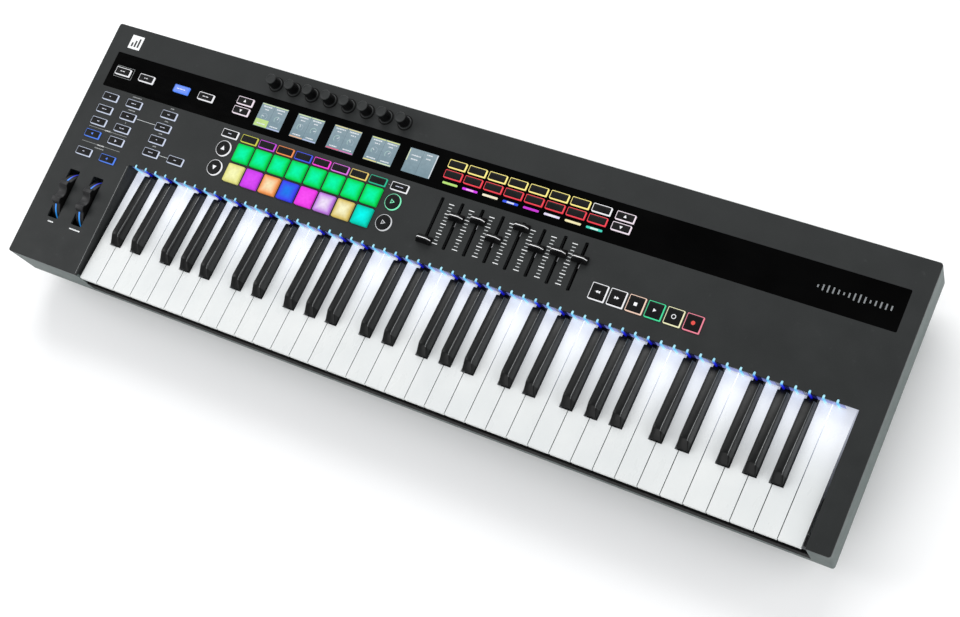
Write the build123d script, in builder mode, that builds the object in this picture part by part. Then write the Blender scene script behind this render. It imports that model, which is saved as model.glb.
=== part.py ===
"""A 61-key controller keyboard with pads, knobs, faders and two performance wheels.

Frame: +X along the keys to the right, +Y to the rear, +Z up, millimetres.
The origin is the bottom centre of the whole instrument, on the surface that it stands on.
"""

from build123d import *

import os
from math import cos, radians, sin, tan

os.makedirs("parts", exist_ok=True)

# ---------------------------------------------------------------- driving dimensions

# case
CASE_WIDTH = 975.0
CASE_REAR_Y = 147.0
CASE_FRONT_Y = -147.0  # the front face leans out to here at its foot
PANEL_TOP_Z = 82.0
PANEL_THICKNESS = 2.5
PANEL_FRONT_Y = -145.0
PANEL_CORNER_R = 3.0
PANEL_BEVEL = 0.4
WALL = 2.5
FOOT_HEIGHT = 6.0
BAND_BOTTOM_Z = 32.0
BAND_SIDE_LEAN = 2.3  # how far each end wall comes in at its foot
BELLY_STEP = 7.0  # the pan under the band is this much smaller all round
BELLY_TAPER = 22.0
BELLY_FLOOR = 3.0
LIP_TOP_Z = 57.0  # top of the front wall under the keys

# key opening in the panel
OPENING_LEFT_X = -388.4
OPENING_RIGHT_X = 463.8
OPENING_REAR_Y = -8.6
SKIRT = 2.0
SKIRT_BOTTOM_Z = 69.8

# keys
OCTAVES = 5
WHITES_PER_OCTAVE = 7
WHITE_PITCH = 23.5
KEYS_LEFT_X = -386.4
KEY_FRONT_Y = -145.0
KEY_TOP_Z = 76.8
KEY_SLOPE_DEG = 4.8  # the tops fall to the rear by this much at rest
KEY_GAP = 1.0
KEY_DEPTH = 9.0
KEY_SKIN = 2.4
KEY_WALL = 1.6
KEY_LIP_DEPTH = 4.2
KEY_LIP_REACH = 16.0
PIVOT_Y = 20.0
PIVOT_Z = 60.5
PIVOT_ROD_R = 2.5
PIVOT_CLEARANCE = 0.06
TAIL_R = 5.2
TAIL_LENGTH = 24.0
BLACK_FRONT_Y = -97.6
BLACK_REAR_Y = -12.5
BLACK_BASE_WIDTH = 12.8
BLACK_TOP_WIDTH = 8.2
BLACK_HEIGHT = 11.6
BLACK_REAR_DROP = 3.6  # the black top is this much nearer to the whites at its rear
BLACK_NOSE = 10.6
BLACK_REAR_TOP_WIDTH = 9.4
BLACK_TOE_WIDTH = 12.4  # the foot of the nose
BLACK_TOE_TOP_WIDTH = 11.8
BLACK_TOE_HEIGHT = 2.0
BLACK_STEM_WIDTH = 10.6
BLACK_STEM_SETBACK = 3.0
BLACK_POCKET_LENGTH = 85.6
BLACK_ROUNDING = 1.1
BLACK_CLEARANCE = 1.0
# sideways shift of each black key from the gap between its two white neighbours
BLACK_SHIFT = {"c_sharp": -1.5, "d_sharp": 2.9, "f_sharp": -3.0, "g_sharp": 0.5, "a_sharp": 3.6}
WHITE_INDEX = {"c": 0, "d": 1, "e": 2, "f": 3, "g": 4, "a": 5, "b": 6}
BLACK_GAP_INDEX = {"c_sharp": 1, "d_sharp": 2, "f_sharp": 4, "g_sharp": 5, "a_sharp": 6}

# light pipes
PIPE_WIDTH = 2.4
PIPE_LEG = 1.5
PIPE_INLET = 3.0  # length of the flat end that shows in the panel
PIPE_FOOT_Z = 70.5

# controls: where each group sits and how big it is
BUTTON_SIZE = (20.5, 8.9)
BUTTON_CORNER_R = 0.8
BUTTON_PROUD = 2.0
HOLE_CLEARANCE = 0.3
FLANGE = 1.0
FLANGE_TOP_Z = 79.2
FLANGE_THICKNESS = 1.3
CONTROL_FOOT_Z = 76.6
BUTTON_COLUMNS = (-452.6, -418.6, -368.6, -334.3)
BUTTON_ROWS = (59.4, 43.5, 28.0, 12.1, -10.3)
STRIP_BUTTON_Y = 92.0
SOFT_ROW_Y = 60.1
GRID_PITCH = 23.85
GRID_FIRST_X = -257.6
SOFT_END_XS = (-283.8, -63.7)
PAD_SIZE = 20.8
PAD_PROUD = 2.4
PAD_CORNER_R = 1.2
PAD_FLANGE = 0.6
PAD_ROW_YS = {"upper": 42.6, "lower": 18.7}
ROUND_BUTTON_R = 9.1
ROUND_BUTTON_PLACES = ((-283.8, 42.3), (-283.7, 18.9), (-64.1, 43.0), (-64.1, 19.0))
PAGE_PAIR_XS = (-284.1, 181.5)
PAGE_PAIR_ROWS = (100.4, 88.7)
FADER_BUTTON_ROWS = (101.0, 89.3)
FADER_BUTTON_FIRST_X = -12.2
FADER_PITCH = 23.9
TRANSPORT_SIZE = 17.4
TRANSPORT_FIRST_X = 185.9
TRANSPORT_PITCH = 20.35
TRANSPORT_Y = 19.6
TRANSPORT_COUNT = 6

# display strip and displays
STRIP_LEFT_X = -471.4
STRIP_RIGHT_X = 470.0
STRIP_FRONT_Y = 70.5
STRIP_REAR_Y = 113.9
STRIP_RECESS = 0.3
STRIP_THICKNESS = 1.3
STRIP_GAP = 0.15
DISPLAY_COUNT = 5
DISPLAY_FIRST_X = -245.9
DISPLAY_PITCH = 47.85
DISPLAY_Y = 91.9
DISPLAY_VIEW = (34.6, 27.4)
DISPLAY_MODULE = (42.0, 33.0)
DISPLAY_MODULE_THICKNESS = 3.4

# encoder knobs
KNOB_COUNT = 8
KNOB_FIRST_X = -257.4
KNOB_PITCH = 23.87
KNOB_Y = 129.1
KNOB_SKIRT_R = 7.4
KNOB_BODY_R = 6.4
KNOB_TOP_R = 5.9
KNOB_TOP_Z = 97.6
KNOB_BOTTOM_Z = 82.6
KNOB_SKIRT_HEIGHT = 2.6
KNOB_CROWN = 2.0
PRESS_GAP = 0.02  # between a shaft or lever and the cap pressed onto it
SHAFT_R = 3.0
BUSHING_R = 4.2
SHAFT_CLEARANCE = 0.06
ENCODER_BODY = 12.0

# faders
FADER_FIRST_X = -12.6
FADER_LOW_Y = 15.4
FADER_TRAVEL = 45.0
FADER_SLOT_WIDTH = 4.0
FADER_SLOT_END = 2.0
FADER_CAP = (17.5, 9.0)
FADER_CAP_RIDGE = 5.0
FADER_CAP_TOP_Z = 90.2
FADER_CAP_BOTTOM_Z = 83.0
LEVER = (1.6, 4.0)
FADER_BODY = (9.0, 66.0, 8.2)
FADER_BODY_TOP_Z = 79.2
FADER_REST_Y = (15.4, 47.2, 51.7, 38.7, 58.6, 42.7, 45.7, 45.7)

# wheels
WHEEL_XS = {"pitch": -452.4, "mod": -418.3}
WHEEL_Y = -63.5
WHEEL_AXIS_Z = 59.5
WHEEL_R = 30.4
WHEEL_RIDGE_R = 33.2
WHEEL_RIDGE_FOOT = 25.5
WHEEL_WIDTH = 10.8
WHEEL_NOTCH_R = 8.5
WHEEL_NOTCH_CENTRE = 35.5
WHEEL_AXLE_R = 3.0
WHEEL_CLEARANCE = 0.06
WHEEL_SLOT = (14.6, 59.8)

# boards
BOARD_THICKNESS = 1.6
CONTROL_BOARD_TOP_Z = 75.2
BOARD_LEFT_X = -466.0
BOARD_LENGTH = 788.0
BOARD_FRONT_Y = -2.0
BOARD_DEPTH = 141.0
BOARD_TAB = (70.0, 15.0)  # reaches forward under the lowest function buttons
MAIN_BOARD_Z = 40.0

# ---------------------------------------------------------------- derived values

PANEL_BOTTOM_Z = PANEL_TOP_Z - PANEL_THICKNESS
HALF_WIDTH = CASE_WIDTH / 2
OCTAVE_WIDTH = WHITES_PER_OCTAVE * WHITE_PITCH
KEYS_RIGHT_X = KEYS_LEFT_X + OCTAVES * OCTAVE_WIDTH + WHITE_PITCH
OPENING_MID_X = (OPENING_LEFT_X + OPENING_RIGHT_X) / 2
OPENING_WIDTH = OPENING_RIGHT_X - OPENING_LEFT_X
KEY_COUNT = 12 * OCTAVES + 1
PIPE_PITCH = OCTAVE_WIDTH / 12
PIPE_FIRST_X = KEYS_LEFT_X + PIPE_PITCH / 2
SLOPE = tan(radians(KEY_SLOPE_DEG))
STRIP_MID = ((STRIP_LEFT_X + STRIP_RIGHT_X) / 2, (STRIP_FRONT_Y + STRIP_REAR_Y) / 2)
STRIP_SIZE = (STRIP_RIGHT_X - STRIP_LEFT_X, STRIP_REAR_Y - STRIP_FRONT_Y)
FADER_COUNT = len(FADER_REST_Y)
FADER_XS = [FADER_FIRST_X + FADER_PITCH * i for i in range(FADER_COUNT)]
FADER_MID_Y = FADER_LOW_Y + FADER_TRAVEL / 2
FADER_SLOT_LENGTH = FADER_TRAVEL + LEVER[1] + 2 * FADER_SLOT_END
KNOB_PLACES = [(KNOB_FIRST_X + KNOB_PITCH * i, KNOB_Y) for i in range(KNOB_COUNT)]

GRID_XS = [GRID_FIRST_X + GRID_PITCH * i for i in range(8)]
FUNCTION_PLACES = (
    [(BUTTON_COLUMNS[0], y) for y in BUTTON_ROWS]
    + [(BUTTON_COLUMNS[1], y) for y in BUTTON_ROWS]
    + [(BUTTON_COLUMNS[2], y) for y in BUTTON_ROWS[:4]]
    + [(BUTTON_COLUMNS[3], BUTTON_ROWS[3])]
)
STRIP_BUTTON_PLACES = [(x, STRIP_BUTTON_Y) for x in BUTTON_COLUMNS]
SOFT_PLACES = [(x, SOFT_ROW_Y) for x in (SOFT_END_XS[0], *GRID_XS, SOFT_END_XS[1])]
PAD_PLACES = {row: [(x, y) for x in GRID_XS] for row, y in PAD_ROW_YS.items()}
PAGE_PLACES = [(x, y) for x in PAGE_PAIR_XS for y in PAGE_PAIR_ROWS]
FADER_BUTTON_PLACES = [
    (FADER_BUTTON_FIRST_X + FADER_PITCH * i, y) for y in FADER_BUTTON_ROWS for i in range(FADER_COUNT)
]
TRANSPORT_PLACES = [
    (TRANSPORT_FIRST_X + TRANSPORT_PITCH * i, TRANSPORT_Y) for i in range(TRANSPORT_COUNT)
]
DISPLAY_PLACES = [(DISPLAY_FIRST_X + DISPLAY_PITCH * i, DISPLAY_Y) for i in range(DISPLAY_COUNT)]


# ---------------------------------------------------------------- case


def rounded_block(half_width, front_y, rear_y, z, corner):
    """A sketch of a rounded rectangle at height z, for the case lofts."""
    with BuildSketch(Plane.XY.offset(z)) as sketch:
        with Locations((0, (front_y + rear_y) / 2)):
            RectangleRounded(2 * half_width, rear_y - front_y, corner)
    return sketch.sketch


def case_loft(inset, low_z, high_z, low, high, mode=Mode.ADD):
    """Loft between two (half width, front y, rear y) outlines, both inset by the same amount."""
    corner = PANEL_CORNER_R
    sections = [
        rounded_block(low[0] - inset, low[1] + inset, low[2] - inset, low_z, corner),
        rounded_block(high[0] - inset, high[1] + inset, high[2] - inset, high_z, corner),
    ]
    loft(sections, mode=mode)


BAND_LOW = (HALF_WIDTH - BAND_SIDE_LEAN, CASE_FRONT_Y, CASE_REAR_Y)
BAND_HIGH = (HALF_WIDTH, PANEL_FRONT_Y, CASE_REAR_Y)
BELLY_HIGH = (BAND_LOW[0] - BELLY_STEP, BAND_LOW[1] + BELLY_STEP, BAND_LOW[2] - BELLY_STEP)
BELLY_LOW = (BELLY_HIGH[0] - BELLY_TAPER, BELLY_HIGH[1] + BELLY_TAPER, BELLY_HIGH[2] - BELLY_TAPER)

# rear sockets: (x, z) of each centre; the housings stand side by side in a notch of the rear wall
SOCKET_Z = 58.0
DC_PLACE = (-420.0, SOCKET_Z)
DC_WIDTH = 18.0
DC_R = 3.2
DC_PIN_R = 1.0
USB_PLACE = (-399.0, SOCKET_Z)
USB_WIDTH = 24.0
USB_SIZE = (9.0, 8.2)
USB_TONGUE = (5.6, 3.2)
DIN_WIDTH = 26.0
DIN_PLACES = [(-374.0 + DIN_WIDTH * i, SOCKET_Z) for i in range(3)]
DIN_R = 7.0
PEDAL_WIDTH = 24.0
PEDAL_PLACES = [(-297.0 + PEDAL_WIDTH * i, SOCKET_Z) for i in range(3)]
PEDAL_BORE_R = 3.3
PEDAL_BORE_DEPTH = 30.0
NOTCH_LEFT_X = DC_PLACE[0] - DC_WIDTH / 2
NOTCH_RIGHT_X = PEDAL_PLACES[-1][0] + PEDAL_WIDTH / 2
NOTCH_FOOT_Z = 41.5
POWER_PLACE = (-448.0, SOCKET_Z)
POWER_R = 4.5
LOCK_PLACE = (452.0, SOCKET_Z)
LOCK_SLOT = (7.2, 3.2)
SOCKET_DEPTH = 10.0
SOCKET_GAP = 0.1
SOCKET_BODY_TOP_Z = 70.0  # the housings stay under the control board; only their face plates reach higher
SOCKET_PLATE = 2.4
SCREW_PLACES = [(x, y) for x in (-360.0, -180.0, 0.0, 180.0, 360.0) for y in (-100.0, 22.0)]
SCREW_SHANK_R = 1.5
SCREW_HEAD_R = 3.4
SCREW_HEAD_HEIGHT = 2.0
SCREW_LENGTH = 16.0
FOOT_PLACES = [(x, y) for x in (-410.0, 0.0, 410.0) for y in (-96.0, 96.0)]
FOOT_R = 11.0


def rear_plane(depth_y):
    """A plane facing the rear at y, whose local x runs along +X and whose local y runs up."""
    return Plane(origin=(0, depth_y, 0), x_dir=(1, 0, 0), z_dir=(0, -1, 0))


with BuildPart() as lower_case:
    case_loft(0, BAND_BOTTOM_Z, PANEL_BOTTOM_Z, BAND_LOW, BAND_HIGH)
    case_loft(0, FOOT_HEIGHT, BAND_BOTTOM_Z, BELLY_LOW, BELLY_HIGH)
    inner_floor_z = FOOT_HEIGHT + BELLY_FLOOR
    case_loft(WALL, BAND_BOTTOM_Z + WALL, PANEL_BOTTOM_Z, BAND_LOW, BAND_HIGH, Mode.SUBTRACT)
    case_loft(WALL, inner_floor_z, BAND_BOTTOM_Z + WALL, BELLY_LOW, BELLY_HIGH, Mode.SUBTRACT)
    # the front wall drops to a lip under the keys
    with BuildSketch(Plane.XY.offset(LIP_TOP_Z)):
        with Locations((OPENING_MID_X, CASE_FRONT_Y)):
            Rectangle(OPENING_WIDTH, 4 * WALL)
    extrude(amount=PANEL_TOP_Z - LIP_TOP_Z, mode=Mode.SUBTRACT)
    # notch for the rear sockets, open at the top, and holes for the power button and a lock
    with BuildSketch(rear_plane(CASE_REAR_Y + 1)):
        with Locations(((NOTCH_LEFT_X + NOTCH_RIGHT_X) / 2, NOTCH_FOOT_Z)):
            Rectangle(NOTCH_RIGHT_X - NOTCH_LEFT_X, PANEL_TOP_Z, align=(Align.CENTER, Align.MIN))
        with Locations(POWER_PLACE):
            Circle(POWER_R + HOLE_CLEARANCE)
        with Locations(LOCK_PLACE):
            RectangleRounded(*LOCK_SLOT, 1)
    extrude(amount=WALL + 3, mode=Mode.SUBTRACT)
    # screw holes through the floor, counterbored for the heads
    with Locations(*[(x, y, FOOT_HEIGHT) for x, y in SCREW_PLACES]):
        Cylinder(SCREW_SHANK_R + 0.2, 2 * BELLY_FLOOR, mode=Mode.SUBTRACT)
        Cylinder(SCREW_HEAD_R + 0.2, 2 * SCREW_HEAD_HEIGHT, mode=Mode.SUBTRACT)
lower_case.part.label = "lower_case"
export_step(lower_case.part, "parts/lower_case.step")

with BuildPart() as rubber_feet:
    with BuildSketch():
        with Locations(*FOOT_PLACES):
            Circle(FOOT_R)
    extrude(amount=FOOT_HEIGHT)
    chamfer(rubber_feet.faces().group_by(Axis.Z)[0].edges(), 1.2)
rubber_feet.part.label = "rubber_feet"
export_step(rubber_feet.part, "parts/rubber_feet.step")

with BuildPart() as case_screws:
    with Locations(*[(x, y, FOOT_HEIGHT) for x, y in SCREW_PLACES]):
        Cylinder(SCREW_HEAD_R, SCREW_HEAD_HEIGHT, align=(Align.CENTER, Align.CENTER, Align.MIN))
        Cylinder(SCREW_SHANK_R, SCREW_LENGTH, align=(Align.CENTER, Align.CENTER, Align.MIN))
        Box(4.2, 0.9, 1.6, mode=Mode.SUBTRACT)
        Box(0.9, 4.2, 1.6, mode=Mode.SUBTRACT)
case_screws.part.label = "case_screws"
export_step(case_screws.part, "parts/case_screws.step")

# ---------------------------------------------------------------- top panel


def button_holes():
    """Sketch the holes of every control that rises through the panel."""
    grow = 2 * HOLE_CLEARANCE
    oblong_places = FUNCTION_PLACES + STRIP_BUTTON_PLACES + SOFT_PLACES + PAGE_PLACES + FADER_BUTTON_PLACES
    with Locations(*oblong_places):
        RectangleRounded(BUTTON_SIZE[0] + grow, BUTTON_SIZE[1] + grow, BUTTON_CORNER_R)
    with Locations(*PAD_PLACES["upper"], *PAD_PLACES["lower"]):
        RectangleRounded(PAD_SIZE + grow, PAD_SIZE + grow, BUTTON_CORNER_R)
    with Locations(*ROUND_BUTTON_PLACES):
        Circle(ROUND_BUTTON_R + HOLE_CLEARANCE)
    with Locations(*TRANSPORT_PLACES):
        RectangleRounded(TRANSPORT_SIZE + grow, TRANSPORT_SIZE + grow, BUTTON_CORNER_R)


with BuildPart() as top_panel:
    with BuildSketch(Plane.XY.offset(PANEL_BOTTOM_Z)):
        with Locations((0, (PANEL_FRONT_Y + CASE_REAR_Y) / 2)):
            RectangleRounded(CASE_WIDTH, CASE_REAR_Y - PANEL_FRONT_Y, PANEL_CORNER_R)
        with Locations((OPENING_MID_X, OPENING_REAR_Y)):
            Rectangle(OPENING_WIDTH, 200, align=(Align.CENTER, Align.MAX), mode=Mode.SUBTRACT)
        with Locations(*[(x, WHEEL_Y) for x in WHEEL_XS.values()]):
            RectangleRounded(*WHEEL_SLOT, 1.5, mode=Mode.SUBTRACT)
        with Locations(*[(x, FADER_MID_Y) for x in FADER_XS]):
            RectangleRounded(FADER_SLOT_WIDTH, FADER_SLOT_LENGTH, 1.2, mode=Mode.SUBTRACT)
        with Locations(*KNOB_PLACES):
            Circle(BUSHING_R + HOLE_CLEARANCE, mode=Mode.SUBTRACT)
        with Locations(*DISPLAY_PLACES):
            Rectangle(*DISPLAY_VIEW, mode=Mode.SUBTRACT)
        with BuildSketch(mode=Mode.SUBTRACT):
            button_holes()
        with Locations(*[(PIPE_FIRST_X + PIPE_PITCH * i, OPENING_REAR_Y) for i in range(KEY_COUNT)]):
            Rectangle(PIPE_WIDTH + 0.2, 2 * (PIPE_INLET + 0.1), mode=Mode.SUBTRACT)
    extrude(amount=PANEL_THICKNESS)
    top_outline = top_panel.faces().sort_by(Axis.Z)[-1].outer_wire().edges()
    long_edges = top_outline.filter_by(lambda e: e.length > 20)
    chamfer(long_edges, PANEL_BEVEL)
    # recess for the display strip
    with BuildSketch(Plane.XY.offset(PANEL_TOP_Z)):
        with Locations(STRIP_MID):
            RectangleRounded(STRIP_SIZE[0], STRIP_SIZE[1], 1.5)
    extrude(amount=-(STRIP_RECESS + STRIP_THICKNESS), mode=Mode.SUBTRACT)
    # skirts down the two ends and the rear of the key opening
    with BuildSketch(Plane.XY.offset(PANEL_BOTTOM_Z)):
        for x, side in ((OPENING_LEFT_X, Align.MAX), (OPENING_RIGHT_X, Align.MIN)):
            with Locations((x, PANEL_FRONT_Y + WALL)):
                Rectangle(SKIRT, OPENING_REAR_Y - PANEL_FRONT_Y - WALL, align=(side, Align.MIN))
    extrude(amount=-(PANEL_BOTTOM_Z - LIP_TOP_Z))
    with BuildSketch(Plane.XY.offset(PANEL_BOTTOM_Z)):
        with Locations((OPENING_MID_X, OPENING_REAR_Y + PIPE_INLET + 0.2)):
            Rectangle(OPENING_WIDTH + 2 * SKIRT, SKIRT, align=(Align.CENTER, Align.MIN))
    extrude(amount=-(PANEL_BOTTOM_Z - SKIRT_BOTTOM_Z))
top_panel.part.label = "top_panel"
export_step(top_panel.part, "parts/top_panel.step")

# ---------------------------------------------------------------- display strip and displays

with BuildPart() as display_window:
    with BuildSketch(Plane.XY.offset(PANEL_TOP_Z - STRIP_RECESS)):
        with Locations(STRIP_MID):
            RectangleRounded(STRIP_SIZE[0] - 2 * STRIP_GAP, STRIP_SIZE[1] - 2 * STRIP_GAP, 1.4)
        with Locations(*STRIP_BUTTON_PLACES, *PAGE_PLACES, *FADER_BUTTON_PLACES):
            grown = [side + 2 * HOLE_CLEARANCE for side in BUTTON_SIZE]
            RectangleRounded(*grown, BUTTON_CORNER_R, mode=Mode.SUBTRACT)
    extrude(amount=-STRIP_THICKNESS)
display_window.part.label = "display_window"
export_step(display_window.part, "parts/display_window.step")

with BuildPart() as display_modules:
    with BuildSketch(Plane.XY.offset(PANEL_BOTTOM_Z)):
        with Locations(*DISPLAY_PLACES):
            Rectangle(*DISPLAY_MODULE)
    extrude(amount=-DISPLAY_MODULE_THICKNESS)
    with BuildSketch(Plane.XY.offset(PANEL_BOTTOM_Z)):
        with Locations(*DISPLAY_PLACES):
            Rectangle(DISPLAY_VIEW[0] - 0.2, DISPLAY_VIEW[1] - 0.2)
    extrude(amount=PANEL_THICKNESS - STRIP_RECESS - STRIP_THICKNESS - 0.05)
display_modules.part.label = "display_modules"
export_step(display_modules.part, "parts/display_modules.step")

# ---------------------------------------------------------------- keys


def key_plane():
    """The sloping plane of the white key tops; its local y runs along the key to the rear."""
    slope = radians(KEY_SLOPE_DEG)
    return Plane(origin=(0, KEY_FRONT_Y, KEY_TOP_Z), x_dir=(1, 0, 0), z_dir=(0, sin(slope), cos(slope)))


def top_z(y):
    """Height of the white key tops at y."""
    return KEY_TOP_Z - (y - KEY_FRONT_Y) * SLOPE


def black_centre(name):
    """Sideways centre of a black key, counted from the left edge of its octave."""
    return BLACK_GAP_INDEX[name] * WHITE_PITCH + BLACK_SHIFT[name]


def white_edges(name):
    """Left and right edges of a white key's wide front part and of its narrow neck."""
    left = WHITE_INDEX[name] * WHITE_PITCH + KEY_GAP / 2
    right = left + WHITE_PITCH - KEY_GAP
    neck_left, neck_right = left, right
    reach = BLACK_BASE_WIDTH / 2 + BLACK_CLEARANCE
    for black in BLACK_SHIFT:
        if BLACK_GAP_INDEX[black] == WHITE_INDEX[name]:
            neck_left = black_centre(black) + reach
        if BLACK_GAP_INDEX[black] == WHITE_INDEX[name] + 1:
            neck_right = black_centre(black) - reach
    return left, right, neck_left, neck_right


def tail_and_bore(x_left, x_right):
    """The rear end that turns on the pivot rod, between two x places, with its bore."""
    with BuildSketch(Plane.YZ.offset(x_left)) as tail:
        with Locations((PIVOT_Y, PIVOT_Z)):
            Circle(TAIL_R)
        with Locations((PIVOT_Y, PIVOT_Z - TAIL_R)):
            Rectangle(TAIL_LENGTH, top_z(PIVOT_Y) - 2 - PIVOT_Z + TAIL_R, align=(Align.MAX, Align.MIN))
    extrude(tail.sketch, amount=x_right - x_left)
    with BuildSketch(Plane.YZ.offset(x_left)) as bore:
        with Locations((PIVOT_Y, PIVOT_Z)):
            Circle(PIVOT_ROD_R + PIVOT_CLEARANCE)
    extrude(bore.sketch, amount=x_right - x_left, mode=Mode.SUBTRACT)


def white_key(left, right, neck_left, neck_right):
    """One white key: a skinned top with thin walls under it, a thin front lip and a bored tail."""
    plane = key_plane()
    step = BLACK_FRONT_Y - BLACK_CLEARANCE - KEY_FRONT_Y
    length = PIVOT_Y - KEY_FRONT_Y
    pocket_end = length - 22
    with BuildPart() as key:
        with BuildSketch(plane) as outline:
            with Locations(((left + right) / 2, 0)):
                Rectangle(right - left, step, align=(Align.CENTER, Align.MIN))
            with Locations(((neck_left + neck_right) / 2, 0)):
                Rectangle(neck_right - neck_left, length, align=(Align.CENTER, Align.MIN))
        extrude(amount=-KEY_DEPTH)
        top = key.faces().sort_by(Axis.Z)[-1]
        fillet(top.edges().filter_by(lambda e: e.center().Y < PIVOT_Y - 1), 0.5)
        # hollow underside
        with BuildSketch(plane.offset(-KEY_DEPTH)):
            with Locations(((left + right) / 2, KEY_WALL)):
                Rectangle(right - left - 2 * KEY_WALL, step - 2 * KEY_WALL, align=(Align.CENTER, Align.MIN))
            with Locations(((neck_left + neck_right) / 2, KEY_WALL)):
                Rectangle(
                    neck_right - neck_left - 2 * KEY_WALL, pocket_end, align=(Align.CENTER, Align.MIN)
                )
        extrude(amount=KEY_DEPTH - KEY_SKIN, mode=Mode.SUBTRACT)
        # the walls stand back from the thin front lip
        with BuildSketch(plane.offset(-KEY_DEPTH)):
            with Locations(((left + right) / 2, -1)):
                Rectangle(right - left + 1, KEY_LIP_REACH + 1, align=(Align.CENTER, Align.MIN))
        extrude(amount=KEY_DEPTH - KEY_LIP_DEPTH, mode=Mode.SUBTRACT)
        tail_and_bore(neck_left, neck_right)
    return key.part


def black_section(y, base_width, top_width, top_height):
    """A cross-section of a black key at y: a trapezium standing on the white key plane."""
    base_z = top_z(y) - 1.0
    with BuildSketch(Plane(origin=(0, y, base_z), x_dir=(1, 0, 0), z_dir=(0, -1, 0))) as section:
        with BuildLine():
            Polyline(
                (-base_width / 2, 0),
                (base_width / 2, 0),
                (top_width / 2, top_height + 1.0),
                (-top_width / 2, top_height + 1.0),
                close=True,
            )
        make_face()
    return section.sketch


def black_key():
    """One black key centred on x = 0: a raked, rounded cap, a stem and a bored tail."""
    half = BLACK_STEM_WIDTH / 2
    stem_front = BLACK_FRONT_Y - KEY_FRONT_Y + BLACK_STEM_SETBACK
    crest = black_section(BLACK_FRONT_Y + BLACK_NOSE, BLACK_BASE_WIDTH, BLACK_TOP_WIDTH, BLACK_HEIGHT)
    rear_height = BLACK_HEIGHT - BLACK_REAR_DROP
    rear = black_section(BLACK_REAR_Y, BLACK_BASE_WIDTH, BLACK_REAR_TOP_WIDTH, rear_height)
    toe = black_section(BLACK_FRONT_Y, BLACK_TOE_WIDTH, BLACK_TOE_TOP_WIDTH, BLACK_TOE_HEIGHT)
    with BuildPart() as key:
        loft([rear, crest])
        loft([crest, toe])
        with BuildSketch(key_plane().offset(-0.5)):
            with Locations((0, stem_front)):
                Rectangle(2 * half, PIVOT_Y - KEY_FRONT_Y - stem_front, align=(Align.CENTER, Align.MIN))
        extrude(amount=-(KEY_DEPTH - 0.5))
        with BuildSketch(key_plane().offset(-KEY_DEPTH)):
            with Locations((0, stem_front + KEY_WALL)):
                Rectangle(2 * (half - KEY_WALL), BLACK_POCKET_LENGTH, align=(Align.CENTER, Align.MIN))
        extrude(amount=KEY_DEPTH - KEY_SKIN, mode=Mode.SUBTRACT)
        tail_and_bore(-half, half)
        ridge = key.edges().filter_by(lambda e: e.center().Z > top_z(e.center().Y) + 5)
        fillet(ridge, BLACK_ROUNDING)
    return key.part


OCTAVE_XS = [KEYS_LEFT_X + OCTAVE_WIDTH * i for i in range(OCTAVES)]

for note in WHITE_INDEX:
    single = white_key(*white_edges(note))
    with BuildPart() as keys:
        with Locations(*[(x, 0, 0) for x in OCTAVE_XS]):
            add(single)
    keys.part.label = f"keys_{note}"
    export_step(keys.part, f"parts/keys_{note}.step")

for note in BLACK_SHIFT:
    single = black_key()
    with BuildPart() as keys:
        with Locations(*[(x + black_centre(note), 0, 0) for x in OCTAVE_XS]):
            add(single)
    keys.part.label = f"keys_{note}"
    export_step(keys.part, f"parts/keys_{note}.step")

with BuildPart() as key_top_c:
    last_left = KEYS_RIGHT_X - WHITE_PITCH + KEY_GAP / 2
    last_right = KEYS_RIGHT_X - KEY_GAP / 2
    add(white_key(last_left, last_right, last_left, last_right))
key_top_c.part.label = "key_top_c"
export_step(key_top_c.part, "parts/key_top_c.step")

# ---------------------------------------------------------------- light pipes

with BuildPart() as key_light_pipes:
    for index in range(KEY_COUNT):
        x = PIPE_FIRST_X + PIPE_PITCH * index
        with BuildSketch(Plane.YZ.offset(x - PIPE_WIDTH / 2)):
            with BuildLine():
                rear = OPENING_REAR_Y + PIPE_INLET
                front = OPENING_REAR_Y - PIPE_LEG
                Polyline(
                    (rear, PANEL_TOP_Z + 0.2),
                    (front, PANEL_TOP_Z - 0.4),
                    (front, PIPE_FOOT_Z),
                    (OPENING_REAR_Y, PIPE_FOOT_Z),
                    (OPENING_REAR_Y, PANEL_TOP_Z - 2.2),
                    (rear, PANEL_TOP_Z - 2.2),
                    close=True,
                )
            make_face()
        extrude(amount=PIPE_WIDTH)
key_light_pipes.part.label = "key_light_pipes"
export_step(key_light_pipes.part, "parts/key_light_pipes.step")

# ---------------------------------------------------------------- keybed

FRAME_FLOOR_Z = 38.0
FRONT_RAIL_Z = 53.0
FRAME_SHEET = 2.0
FRAME_LEFT_X = OPENING_LEFT_X + 1.0
FRAME_RIGHT_X = OPENING_RIGHT_X - 1.0
FRAME_FRONT_Y = -141.5
FRAME_REAR_Y = 34.0
FRAME_LENGTH = FRAME_RIGHT_X - FRAME_LEFT_X
POST_R = 5.0
EAR_WIDTH = 0.7
EAR_XS = [KEYS_LEFT_X + OCTAVE_WIDTH * i for i in range(OCTAVES + 1)]
CONTACT_Y = -45.0
CONTACT_RAIL_TOP_Z = 47.0

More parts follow.
